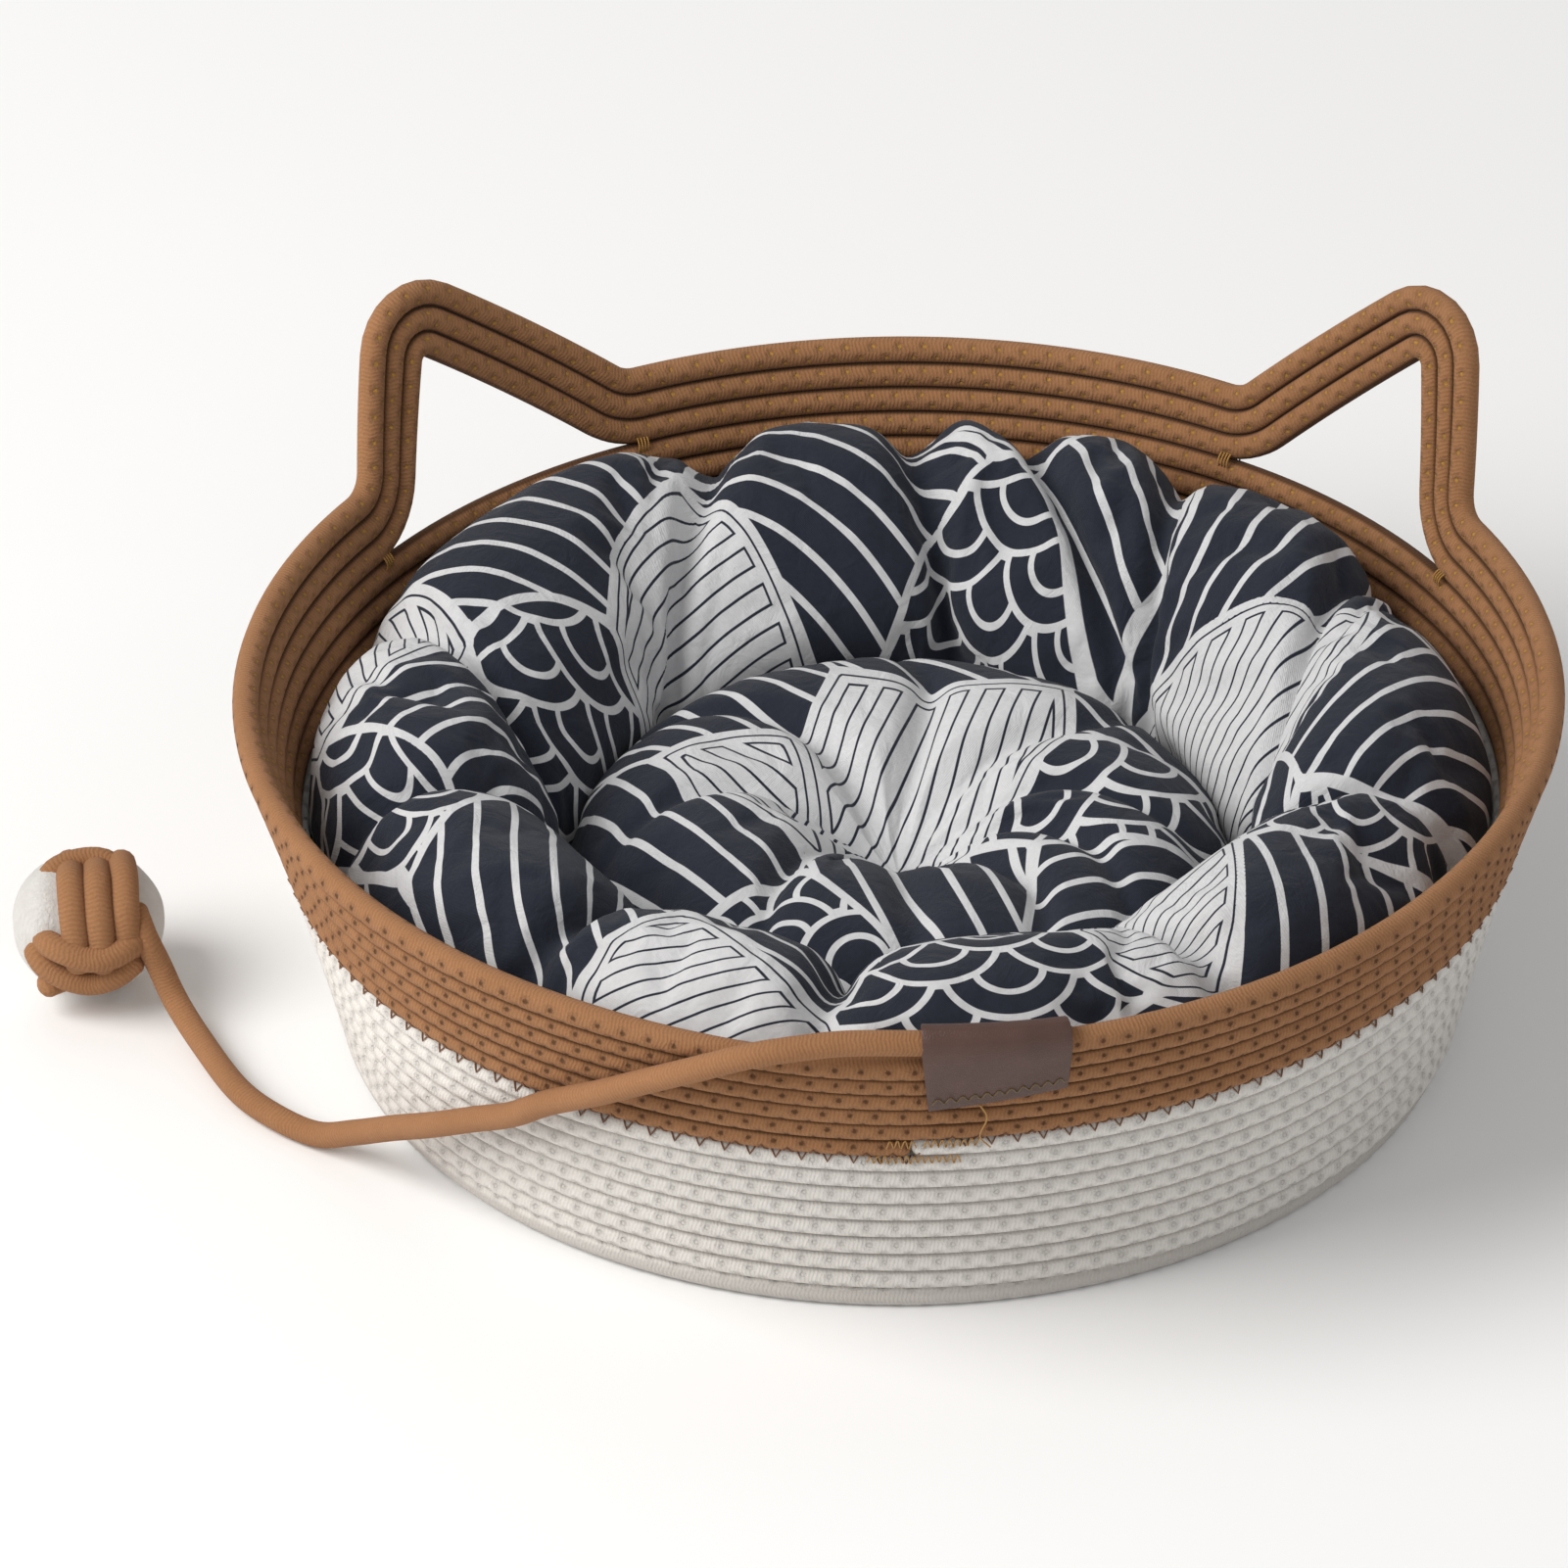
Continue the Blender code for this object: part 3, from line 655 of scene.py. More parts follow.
def sewn_over(name, start, end, low_centre, high_centre, stroke, thickness):
    """A dense zig-zag sewn by hand over the groove between two ropes, from one azimuth to another."""
    points, number = [], 0
    azimuth = start
    while azimuth <= end:
        share = (splice - azimuth) / (2 * math.pi)
        low, high = low_centre(share), high_centre(share)
        reach = 0.0017 + 0.0007 * noise.noise(Vector((azimuth * 90, 0.0, thickness * 9000)))
        along = (low + high) / 2 + (reach if number % 2 else -reach)
        points.append(wall_place(azimuth, along, ROPE - 0.0002))
        azimuth += stroke * (1 + 0.4 * noise.noise(Vector((azimuth * 140, 4.0, 0.0))))
        number += 1
    made = put_in_scene(name, thread_mesh(name, smooth_line(points, 0.0009), thickness, 5))
    made.data.materials.append(ochre_thread)
    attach(made, "basket")


stub_thread = 0.0011 / wall_radius
sewn_over("splice_stitch_lower", splice - math.radians(4.8), splice + math.radians(4.0),
          white_top, lambda share: white_top(share) + white_pitch, stub_thread, 0.0005)
sewn_over("splice_stitch_upper", splice + math.radians(0.4), splice + math.radians(5.6),
          lambda share: white_top(share + 1), lambda share: brown_along(1, share + 1), stub_thread, 0.00052)
sewn_over("splice_stitch_left", splice - math.radians(3.0), splice - math.radians(0.2),
          lambda share: brown_along(1, share), lambda share: brown_along(2, share), stub_thread, 0.00048)

line = []
for step in range(15):
    share = step / 14
    azimuth = math.radians(9.1 + 0.9 * share + 0.45 * math.sin(share * 7.0))
    along = rim_along - 0.0205 - 0.0205 * share
    line.append(wall_place(azimuth, along, ROPE + 0.0009 + 0.0012 * math.sin(share * math.pi)))
loose_end = put_in_scene("loose_thread", thread_mesh("loose_thread", smooth_line(line, 0.0008), 0.00055, 5))
loose_end.data.materials.append(ochre_thread)
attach(loose_end, "basket")

# ---------------------------------------------------------------------------
# Ear bindings: at both feet of each ear, four turns of golden thread bind the ear's rope to the rope below.
# They stop the opening's corners from tearing further along the seam.

for side, ear in (("right", right_ear), ("left", left_ear)):
    for end, from_back in (("outer", ear[0] + math.radians(4.6)), ("inner", ear[2] - math.radians(2.5))):
        azimuth = -math.pi - from_back if side == "right" else -math.pi + from_back
        share = (splice - azimuth) / (2 * math.pi)
        groove_along = (brown_along(3, share) + brown_along(4, share)) / 2
        line = []
        for step in range(49):
            turn = 2 * math.pi * step / 12
            drift = (step / 48 - 0.5) * 0.0042 / wall_radius
            along = groove_along + 0.0034 * math.sin(turn)
            line.append(wall_place(azimuth + drift, along, (ROPE + 0.0005) * math.cos(turn)))
        name = f"ear_binding_{side}_{end}"
        binding = put_in_scene(name, thread_mesh(name, smooth_line(line, 0.0008), 0.0006, 5))
        binding.data.materials.append(ochre_thread)
        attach(binding, "basket")
        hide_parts(f"ear_tack_{side}_{end}")

# ---------------------------------------------------------------------------
# Label: a plain strip of dark brown leather, folded over the rim and sewn through.
# Its outer flap is cut a little askew, and the stitch row runs along that edge.

label_start, label_end = math.radians(4.6), math.radians(16.8)
label_skin = 0.0012
label_flap, label_inner_flap = 0.0215, 0.0175
label_out = ROPE + 0.0005
bpy.ops.object.select_all(action="DESELECT")
bpy.ops.mesh.primitive_plane_add(size=0.001, location=(0, 0, 0))
label = bpy.context.object
label.name = "label_strip"
bpy.ops.object.mode_set(mode="EDIT")
bpy.ops.mesh.select_all(action="SELECT")
bpy.ops.mesh.merge(type="CENTER")
first = wall_place(label_start, rim_along - label_flap, label_out)
bpy.ops.transform.translate(value=first)
profile = []
for step in range(1, 10):
    profile.append((rim_along - label_flap + label_flap * step / 9, label_out))
for step in range(1, 9):
    turn = math.pi * step / 8
    profile.append((rim_along + (ROPE + 0.0027) * math.sin(turn), label_out * math.cos(turn)))
for step in range(1, 8):
    profile.append((rim_along - label_inner_flap * step / 7, -label_out))
here = first
for along, outwards in profile:
    there = wall_place(label_start, along, outwards)
    bpy.ops.mesh.extrude_region_move(TRANSFORM_OT_translate={"value": there - here})
    here = there
bpy.ops.mesh.select_all(action="SELECT")
bpy.ops.mesh.spin(steps=14, angle=label_end - label_start, center=(0, 0, 0), axis=(0, 0, 1))
bpy.ops.mesh.select_all(action="SELECT")
bpy.ops.mesh.remove_doubles(threshold=0.00001)
bpy.ops.object.mode_set(mode="OBJECT")
reach = [math.atan2(v.co.x, -v.co.y) for v in label.data.vertices]
if min(reach) < label_start - 0.01:
    turn_back = Matrix.Rotation(label_end - label_start, 4, "Z")
    for vert in label.data.vertices:
        vert.co = turn_back @ vert.co
for vert in label.data.vertices:
    radius = math.hypot(vert.co.x, vert.co.y)
    azimuth = math.atan2(vert.co.x, -vert.co.y)
    low = 1.0 - (vert.co.z - first.z) / (0.111 - first.z)
    outer = radius > wall_point((vert.co.z - ROPE) / math.cos(math.radians(17)))[0]
    if outer and low > 0.0:
        skew = (azimuth - label_start) / (label_end - label_start)
        lift = 0.0058 * skew * min(1.0, low)
        vert.co.z += lift * math.cos(rim_flare)
        grow = 1.0 + lift * math.sin(math.radians(18.5)) / radius
        vert.co.x *= grow
        vert.co.y *= grow
    near_start = 1.0 - min(1.0, max(0.0, (azimuth - label_start) / (label_end - label_start)))
    fold = min(1.0, max(0.0, (vert.co.z - 0.104) / 0.010))
    vert.co.z += fold * (0.0010 + 0.0014 * near_start)
    rise = min(1.0, max(0.0, (vert.co.z - first.z) / (0.113 - first.z)))
    vert.co.x -= 0.0020 * max(0.0, 2 * near_start - 1) * rise
bpy.context.view_layer.objects.active = label
bpy.ops.object.mode_set(mode="EDIT")
bpy.ops.mesh.select_all(action="SELECT")
bpy.ops.mesh.normals_make_consistent(inside=False)
bpy.ops.object.mode_set(mode="OBJECT")
top_face = max(label.data.polygons, key=lambda face: face.center.z)
if top_face.normal.z < 0:
    label.data.flip_normals()
skin = label.modifiers.new("skin", "SOLIDIFY")
skin.thickness = label_skin
skin.offset = 1.0
edges = label.modifiers.new("edges", "BEVEL")
edges.width = 0.0003
edges.segments = 2
edges.limit_method = "ANGLE"
for name in ("skin", "edges"):
    bpy.ops.object.modifier_apply(modifier=name)
bpy.ops.object.shade_smooth_by_angle(angle=math.radians(50))

f = Finish("label_leather", 0.42, specular=0.5)
spot = f.node("ShaderNodeTexCoord")
pores = f.node("ShaderNodeTexVoronoi", {"feature": "DISTANCE_TO_EDGE"}, Scale=1300.0)
f.tree.links.new(spot.outputs["Object"], pores.inputs["Vector"])
grain = f.spread(pores.outputs["Distance"], 0.0, 0.25)
cloud = f.grain(spot.outputs["Object"], 90.0, 4.0)
colour = f.mix(cloud, (0.055, 0.024, 0.017), (0.105, 0.047, 0.034))
height = f.sum("MULTIPLY_ADD", grain, 0.6, f.sum("MULTIPLY", f.grain(spot.outputs["Object"], 500.0, 3.0), 0.5))
label.data.materials.append(f.finish(colour, height, 0.00012, 0.8))
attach(label, "basket")
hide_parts("leather_label")

line = []
rows = 22
for step in range(rows + 1):
    share = step / rows
    azimuth = label_start + 0.006 + (label_end - label_start - 0.012) * share
    along = rim_along - 0.0170 + 0.0055 * share + (0.0011 if step % 2 else -0.0011)
    line.append(wall_place(azimuth, along, label_out + label_skin + 0.0001))
label_stitch = put_in_scene("label_stitch", thread_mesh("label_stitch", smooth_line(line, 0.0006), 0.0005))
dull_ochre_thread = sewing_thread("dull_ochre_thread", (0.20, 0.13, 0.045), (0.09, 0.055, 0.02))
label_stitch.data.materials.append(dull_ochre_thread)
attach(label_stitch, "basket")

# ---------------------------------------------------------------------------
# Cushion print: plain-weave navy cotton, printed white in big patches with curved borders.
# Patches hold curved stripes, rows of small scales, or white ground with thin navy bars.

STRIPES, BARS, SCALES = 0.0, 1.0, 2.0


def lay_print(piece, patches, wrap):
    """Says for each face which patch it lies in, and for each corner how far the patch's border is.
    A patch is (u, v, kind, lie of its lines in degrees, bend of its lines in metres, push on its neighbours)."""
    mesh = piece.data
    spots = np.empty(len(mesh.loops) * 2)
    mesh.uv_layers["lay"].data.foreach_get("uv", spots)
    spots = spots.reshape(-1, 2)
    starts = np.empty(len(mesh.polygons), int)
    sizes = np.empty(len(mesh.polygons), int)
    mesh.polygons.foreach_get("loop_start", starts)
    mesh.polygons.foreach_get("loop_total", sizes)
    middles = np.add.reduceat(spots, starts, axis=0) / sizes[:, None]
    seeds = np.array([patch[:2] for patch in patches])
    push = np.array([patch[5] for patch in patches])

    def away(points):
        wave = np.stack([np.sin(points[:, 1] * 38.0), np.sin(points[:, 0] * 33.0)], axis=1)
        waved = points + 0.006 * wave
        gap = waved[:, None, :] - seeds[None, :, :]
        if wrap:
            gap[:, :, 0] = (gap[:, :, 0] + wrap / 2) % wrap - wrap / 2
        return np.hypot(gap[:, :, 0], gap[:, :, 1]) - push

    own = np.argmin(away(middles), axis=1)
    corner_face = np.repeat(np.arange(len(sizes)), sizes)
    two = np.sort(away(spots), axis=1)[:, :2]
    border = (two[:, 1] - two[:, 0]) / 2
    local = spots - seeds[own[corner_face]]
    if wrap:
        local[:, 0] = (local[:, 0] + wrap / 2) % wrap - wrap / 2
    lie = np.radians([patch[3] for patch in patches])[own[corner_face]]
    bend = np.array([patch[4] for patch in patches])[own[corner_face]]
    kind = np.array([patch[2] for patch in patches])[own[corner_face]]
    across = local[:, 0] + np.sin(lie) * bend
    upward = local[:, 1] - np.cos(lie) * bend
    ring = np.hypot(across, upward)
    turned_x = local[:, 0] * np.cos(lie) + local[:, 1] * np.sin(lie)
    turned_y = local[:, 1] * np.cos(lie) - local[:, 0] * np.sin(lie)
    laid = {"kind": kind, "border": border, "ring": ring, "scale_x": turned_x + 1.0, "scale_y": turned_y + 1.0}
    for name, values in laid.items():
        mesh.attributes.new(name, "FLOAT", "CORNER").data.foreach_set("value", values.astype(np.float32))


def printed_cotton():
    f = Finish("printed_cotton", 0.80, sheen=0.10, sheen_roughness=0.4, specular=0.2)

    def laid(name):
        return f.node("ShaderNodeAttribute", {"attribute_name": name}).outputs["Fac"]

    def band(value, low, high, soft):
        rising = f.spread(value, low - soft, low + soft)
        return f.sum("MULTIPLY", rising, f.spread(value, high - soft, high + soft, 1.0, 0.0))

    spot = f.node("ShaderNodeTexCoord")
    place = f.node("ShaderNodeSeparateXYZ", Vector=spot.outputs["UV"])
    kind, border, ring = laid("kind"), laid("border"), laid("ring")

    stripe_step = 0.0128
    stripe = f.sum("MULTIPLY", f.sum("FRACT", f.sum("DIVIDE", ring, stripe_step)), stripe_step)
    lines = band(stripe, 0.0052, 0.0077, 0.00010)
    border_line = f.spread(border, 0.0014, 0.0016, 1.0, 0.0)

    bar_step = 0.0108
    bar = f.sum("MULTIPLY", f.sum("FRACT", f.sum("DIVIDE", ring, bar_step)), bar_step)
    inner = f.sum("MINIMUM", f.sum("SUBTRACT", bar, 0.0022), f.sum("SUBTRACT", 0.0086, bar))
    inner = f.sum("MINIMUM", inner, f.sum("SUBTRACT", border, 0.0046))
    bars = f.sum("MAXIMUM", band(inner, 0.0, 0.0008, 0.00010), band(border, 0.0015, 0.0022, 0.00008))

    scale_wide, scale_tall = 0.040, 0.0150
    scale_radius = scale_wide / 2
    scale_x, scale_y = laid("scale_x"), laid("scale_y")
    first_row = f.sum("FLOOR", f.sum("DIVIDE", scale_y, scale_tall))
    nearest = covered = None
    for lower in (-1.0, 0.0, 1.0):
        row = f.sum("ADD", first_row, lower)
        shift = f.sum("MULTIPLY", f.sum("FLOORED_MODULO", row, 2.0), 0.5)
        cell = f.sum("FRACT", f.sum("SUBTRACT", f.sum("DIVIDE", scale_x, scale_wide), shift))
        dx = f.sum("MULTIPLY", f.sum("SUBTRACT", cell, 0.5), scale_wide)
        dy = f.sum("SUBTRACT", scale_y, f.sum("MULTIPLY", row, scale_tall))
        away = f.sum("SQRT", f.sum("ADD", f.sum("MULTIPLY", dx, dx), f.sum("MULTIPLY", dy, dy)))
        if nearest is None:
            nearest = away
        else:
            behind = f.sum("MULTIPLY", f.sum("SUBTRACT", 1.0, covered), away)
            nearest = f.sum("ADD", f.sum("MULTIPLY", covered, nearest), behind)
        covered = f.sum("LESS_THAN", nearest, scale_radius)
    outer_arc = band(nearest, scale_radius - 0.0023, scale_radius + 0.001, 0.0001)
    arcs = f.sum("MAXIMUM", outer_arc, band(nearest, scale_radius - 0.0115, scale_radius - 0.0093, 0.0001))

    is_bar = f.sum("COMPARE", kind, BARS, 0.4)
    is_scale = f.sum("COMPARE", kind, SCALES, 0.4)
    is_stripe = f.sum("COMPARE", kind, STRIPES, 0.4)
    white = f.sum("ADD", f.sum("MULTIPLY", is_stripe, lines), f.sum("MULTIPLY", is_scale, arcs))
    white = f.sum("ADD", white, f.sum("MULTIPLY", is_bar, f.sum("SUBTRACT", 1.0, bars)))
    white = f.sum("MAXIMUM", white, border_line, clamp=True)

    weave_u = f.sum("SINE", f.sum("MULTIPLY", place.outputs["X"], 2 * math.pi / 0.0006))
    weave_v = f.sum("SINE", f.sum("MULTIPLY", place.outputs["Y"], 2 * math.pi / 0.0006))
    weave = f.sum("MULTIPLY_ADD", f.sum("MULTIPLY", weave_u, weave_v), 0.5, 0.5)
    slub = f.grain(spot.outputs["Object"], 700.0, 3.0, 0.6)
    cloud = f.grain(spot.outputs["Object"], 30.0, 3.0)
    depth = f.sum("MULTIPLY_ADD", slub, 0.6, f.sum("MULTIPLY", cloud, 0.4), clamp=True)
    navy = f.mix(depth, (0.0120, 0.0145, 0.0235), (0.0260, 0.0310, 0.0480))
    pale = f.mix(slub, (0.60, 0.60, 0.61), (0.72, 0.72, 0.73))
    colour = f.mix(white, navy, pale)
    crumple = f.grain(spot.outputs["Object"], 70.0, 4.0, 0.6, 1.2)
    height = f.sum("MULTIPLY_ADD", weave, 0.08, crumple)
    return f.finish(colour, height, 0.0022, 0.8)


print_cloth = printed_cotton()

# ---------------------------------------------------------------------------
# Bolster: the ring of the donut, a gathered tube of printed cotton filled with fibre.
# The gathers pull it in at uneven steps, so it stands in plump bulges that lean on the wall.

bolster_middle = Vector((0.1395, 0.0, 0.0600))
bolster_half = (0.0350, 0.0500)
bolster_lean = math.radians(16)
gather_radius = 0.14
gathers = [
    (-157, -136), (-179, -186), (168, 142), (149, 138), (121, 95), (78, 67),
    (38, 28), (-6, -3), (-40, -36), (-74, -73), (-109, -94),
]
gathers = [(math.radians(crown), math.radians(foot)) for crown, foot in gathers]


def gather_gap(azimuth, turn):
    """How far round the ring, in metres, the nearest gather is. A gather slants from the crown to the inner foot."""
    inward = min(1.0, max(0.0, (1.1 - math.sin(turn) - math.cos(turn) * 0.6) / 2.0))
    nearest = 1e9
    for crown, foot in gathers:
        line = crown + (foot - crown) * inward
        gap = abs((azimuth - line + math.pi) % (2 * math.pi) - math.pi)
        nearest = min(nearest, gap)
    return nearest * gather_radius


def bolster_place(azimuth, turn):
    """A point of the bolster before it is inflated."""
    across, up = math.cos(turn), math.sin(turn)
    gap = gather_gap(azimuth, turn)
    pinch = math.exp(-((gap / 0.0065) ** 2)) * 0.62 + math.exp(-((gap / 0.0180) ** 2)) * 0.38
    pull = 0.0125 * pinch * (0.35 + 0.65 * max(0.0, up * 0.8 - across * 0.6 + 0.2))
    swell = 0.0025 * noise.noise(Vector((math.cos(azimuth) * 2.2, math.sin(azimuth) * 2.2, turn * 0.8)))
    plump = 0.0040 * max(0.0, -math.cos(azimuth)) * max(0.0, up)
    a = bolster_half[0] - pull + swell
    b = bolster_half[1] - pull * 1.15 + swell + plump
    radius = bolster_middle.x + a * across * math.cos(bolster_lean) + b * up * math.sin(bolster_lean)
    height = bolster_middle.z - a * across * math.sin(bolster_lean) + b * up * math.cos(bolster_lean)
    return Vector((radius * math.sin(azimuth), -radius * math.cos(azimuth), height))


def grid_mesh(name, columns, rows, place, cloth_place, close_rows):
    verts = [place(c, r) for r in range(rows) for c in range(columns)]
    faces, spots = [], []
    for r in range(rows if close_rows else rows - 1):
        for c in range(columns):
            n, m = (c + 1) % columns, (r + 1) % rows
            faces.append((r * columns + c, r * columns + n, m * columns + n, m * columns + c))
            spots += [cloth_place(c, r), cloth_place(c + 1, r), cloth_place(c + 1, r + 1), cloth_place(c, r + 1)]
    mesh = bpy.data.meshes.new(name)
    mesh.from_pydata(verts, [], faces)
    layer = mesh.uv_layers.new(name="lay")
    for loop, spot in zip(layer.data, spots):
        loop.uv = spot
    for face in mesh.polygons:
        face.use_smooth = True
    return mesh


around, section = 300, 82
cloth_round = 2 * math.pi * 0.150
cloth_shift = (0.31, 0.17)
first_turn = math.radians(-60)
girth = 2 * math.pi * math.sqrt((bolster_half[0] ** 2 + bolster_half[1] ** 2) / 2)


def bolster_spot(c, r):
    return (c / around * cloth_round + cloth_shift[0], r / section * girth + cloth_shift[1])


bolster_mesh = grid_mesh(
    "bolster", around, section,
    lambda c, r: bolster_place(-2 * math.pi * c / around, 2 * math.pi * r / section + first_turn),
    bolster_spot, True)
bolster = put_in_scene("bolster", bolster_mesh)
bolster.data.flip_normals()


def inflate(piece, held, pressure, slack, limit, frames):
    """Cloth simulation: pressure swells the piece, and its cloth, a little too large, wrinkles at the gathers."""
    before = [vert.co.copy() for vert in piece.data.vertices]
    group = piece.vertex_groups.new(name="held")
    for index, weight in held.items():
        group.add([index], weight, "REPLACE")
    cloth = piece.modifiers.new("cloth", "CLOTH")
    cloth.settings.quality = 6
    cloth.settings.mass = 0.2
    cloth.settings.tension_stiffness = 12
    cloth.settings.compression_stiffness = 12
    cloth.settings.shear_stiffness = 4
    cloth.settings.bending_stiffness = 0.05
    cloth.settings.use_pressure = True
    cloth.settings.uniform_pressure_force = pressure
    cloth.settings.shrink_min = -slack
    cloth.settings.vertex_group_mass = "held"
    cloth.settings.effector_weights.gravity = 0.0
    cloth.collision_settings.use_collision = False
    cloth.point_cache.frame_start = 1
    cloth.point_cache.frame_end = frames
    for number in range(1, frames + 1):
        bpy.context.scene.frame_set(number)
    bpy.ops.object.select_all(action="DESELECT")
    bpy.context.view_layer.objects.active = piece
    piece.select_set(True)
    bpy.ops.object.modifier_apply(modifier="cloth")
    bpy.context.scene.frame_set(1)
    piece.vertex_groups.clear()
    for vert, old in zip(piece.data.vertices, before):
        step = vert.co - old
        if step.length > limit:
            vert.co = old + step * (limit / step.length)


def keep_inside(piece, clear, floor, ceiling):
    """The cushion rests on its base cloth and leans on the wall, and goes through neither."""
    for vert in piece.data.vertices:
        radius = math.hypot(vert.co.x, vert.co.y)
        along = (vert.co.z - ROPE) / math.cos(math.radians(16.5))
        room = wall_point(along)[0] - ROPE - clear
        if radius > room:
            vert.co.x *= room / radius
            vert.co.y *= room / radius
        if vert.co.z < floor:
            vert.co.z = floor
        if vert.co.z > ceiling:
            vert.co.z = ceiling + (vert.co.z - ceiling) * 0.3


held = {}
for index, vert in enumerate(bolster.data.vertices):
    azimuth = math.atan2(vert.co.x, -vert.co.y)
    r = index // around
    turn = 2 * math.pi * r / section + first_turn
    if gather_gap(azimuth, turn) < 0.0022 or vert.co.z < 0.020:
        held[index] = 1.0
inflate(bolster, held, 1.5, 0.06, 0.010, 22)
keep_inside(bolster, 0.0006, 0.0100, 0.1125)
smooth = bolster.modifiers.new("smooth", "SUBSURF")
smooth.levels = smooth.render_levels = 1
bpy.ops.object.select_all(action="DESELECT")
bpy.context.view_layer.objects.active = bolster
bolster.select_set(True)
bpy.ops.object.modifier_apply(modifier="smooth")
bolster_patches = []
for azimuth, turn, kind, lie, bend, push in (
    (-170, 108, STRIPES, 38, 0.30, 0.010), (-144, 162, BARS, -20, 0.20, 0.004), (-127, 92, STRIPES, 75, -0.30, 0.010),
    (-112, 172, SCALES, 60, 0.1, -0.006), (-104, 62, BARS, 147, 0.20, -0.002), (-86, 118, STRIPES, 58, 0.14, 0.004),
    (-70, 70, SCALES, 110, 0.1, 0.000), (-44, 104, STRIPES, 45, -0.16, 0.012), (-21, 78, BARS, 143, 0.14, -0.004),
    (-10, 132, STRIPES, 20, 0.15, 0.000), (14, 96, SCALES, 180, 0.1, 0.000), (22, 160, STRIPES, 60, -0.2, -0.004),
    (40, 138, BARS, 2, 0.16, 0.006), (58, 76, STRIPES, 120, 0.2, -0.004), (72, 96, SCALES, 255, 0.1, 0.002),
    (92, 96, STRIPES, 48, -0.12, 0.010), (112, 152, BARS, 74, 0.25, 0.002), (134, 96, STRIPES, 72, 0.30, 0.008),
    (155, 118, STRIPES, 50, -0.30, 0.000), (166, 160, SCALES, 10, 0.1, -0.004), (176, 70, STRIPES, 30, 0.3, 0.002),
    (-30, 170, STRIPES, 100, 0.2, -0.006), (78, 176, STRIPES, 10, 0.2, -0.006), (-158, 40, STRIPES, 100, 0.2, 0.0),
    (-60, 20, STRIPES, 10, 0.2, 0.0), (20, 20, STRIPES, 40, 0.2, 0.0), (110, 30, STRIPES, 140, 0.2, 0.0),
    (0, -30, STRIPES, 40, 0.2, 0.0), (90, -30, STRIPES, 0, 0.2, 0.0), (180, -30, STRIPES, 90, 0.2, 0.0),
    (-90, -30, STRIPES, 60, 0.2, 0.0),
):
    u = (-azimuth % 360) / 360 * cloth_round + cloth_shift[0]
    v = (turn + 60) / 360 * girth + cloth_shift[1]
    bolster_patches.append((u, v, kind, lie, bend, push))
lay_print(bolster, bolster_patches, cloth_round)
bolster.data.materials.append(print_cloth)
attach(bolster, "cushion")
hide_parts("bolster_filling", "cushion_cover")

# ---------------------------------------------------------------------------
# Centre pad: a soft round pad of the same cloth, sewn into the ring and tied down in the middle.
# The tie makes a deep dimple with folds that run out from it to the ring.

pad_radius = 0.1040
pad_folds = [math.radians(a) for a in (-168, -128, -92, -50, -14, 25, 62, 104, 150)]


def pad_height(radius, azimuth):
    share = radius / pad_radius
    dimple = 0.0245 * math.exp(-((radius / 0.026) ** 2))
    fall = 0.034 * share**7
    nearest = math.pi
    for place in pad_folds:
        gap = azimuth - place - 0.35 * math.sin(share * 3 + place)
        nearest = min(nearest, abs((gap + math.pi) % (2 * math.pi) - math.pi))
    gap = nearest * max(radius, 0.004)
    reach = math.exp(-(((share - 0.36) / 0.42) ** 2))
    fold = 0.0075 * math.exp(-((gap / 0.0060) ** 2)) * reach
    spot = Vector((math.cos(azimuth) * radius * 28, math.sin(azimuth) * radius * 28, 3.0))
    swell = 0.0022 * noise.noise(spot)
    return 0.0735 - dimple - fall - fold + swell


pad_around, pad_rows, pad_top_rows = 200, 44, 36
pad_foot = 0.0105


def pad_place(c, r):
    azimuth = -2 * math.pi * c / pad_around
    if r < pad_top_rows:
        radius = pad_radius * (1 - (1 - r / pad_top_rows) ** 1.25)
        radius = max(radius, 0.0006)
        height = pad_height(radius, azimuth)
    else:
        share = (r - pad_top_rows) / (pad_rows - 1 - pad_top_rows)
        radius = pad_radius * (1 - 0.985 * share)
        edge = pad_height(pad_radius, azimuth)
        height = edge + (pad_foot - edge) * min(1.0, share * 4.0)
    return Vector((radius * math.sin(azimuth), -radius * math.cos(azimuth), height))


def pad_cloth(x, y):
    return (x * 1.06 + 0.62, y * 1.06 + 0.55)


def pad_spot(c, r):
    point = pad_place(c, min(r, pad_rows - 1))
    return pad_cloth(point.x, point.y)


pad = put_in_scene("centre_pad", grid_mesh("centre_pad", pad_around, pad_rows, pad_place, pad_spot, False))
shape = bmesh.new()
shape.from_mesh(pad.data)
shape.verts.ensure_lookup_table()
pole = Vector((0.0, 0.0, shape.verts[0].co.z))
bmesh.ops.pointmerge(shape, verts=[shape.verts[c] for c in range(pad_around)], merge_co=pole)
middle = shape.verts.new((0.0, 0.0, pad_foot))
for edge in [edge for edge in shape.edges if edge.is_boundary]:
    shape.faces.new((edge.verts[0], edge.verts[1], middle))
bmesh.ops.recalc_face_normals(shape, faces=shape.faces)
shape.to_mesh(pad.data)
shape.free()
held = {}
for index, vert in enumerate(pad.data.vertices):
    radius = math.hypot(vert.co.x, vert.co.y)
    if radius < 0.006 or radius > pad_radius * 0.96 or index >= pad_top_rows * pad_around:
        held[index] = 1.0
inflate(pad, held, 0.8, 0.05, 0.006, 20)
smooth = pad.modifiers.new("smooth", "SUBSURF")
smooth.levels = smooth.render_levels = 1
bpy.ops.object.select_all(action="DESELECT")
bpy.context.view_layer.objects.active = pad
pad.select_set(True)
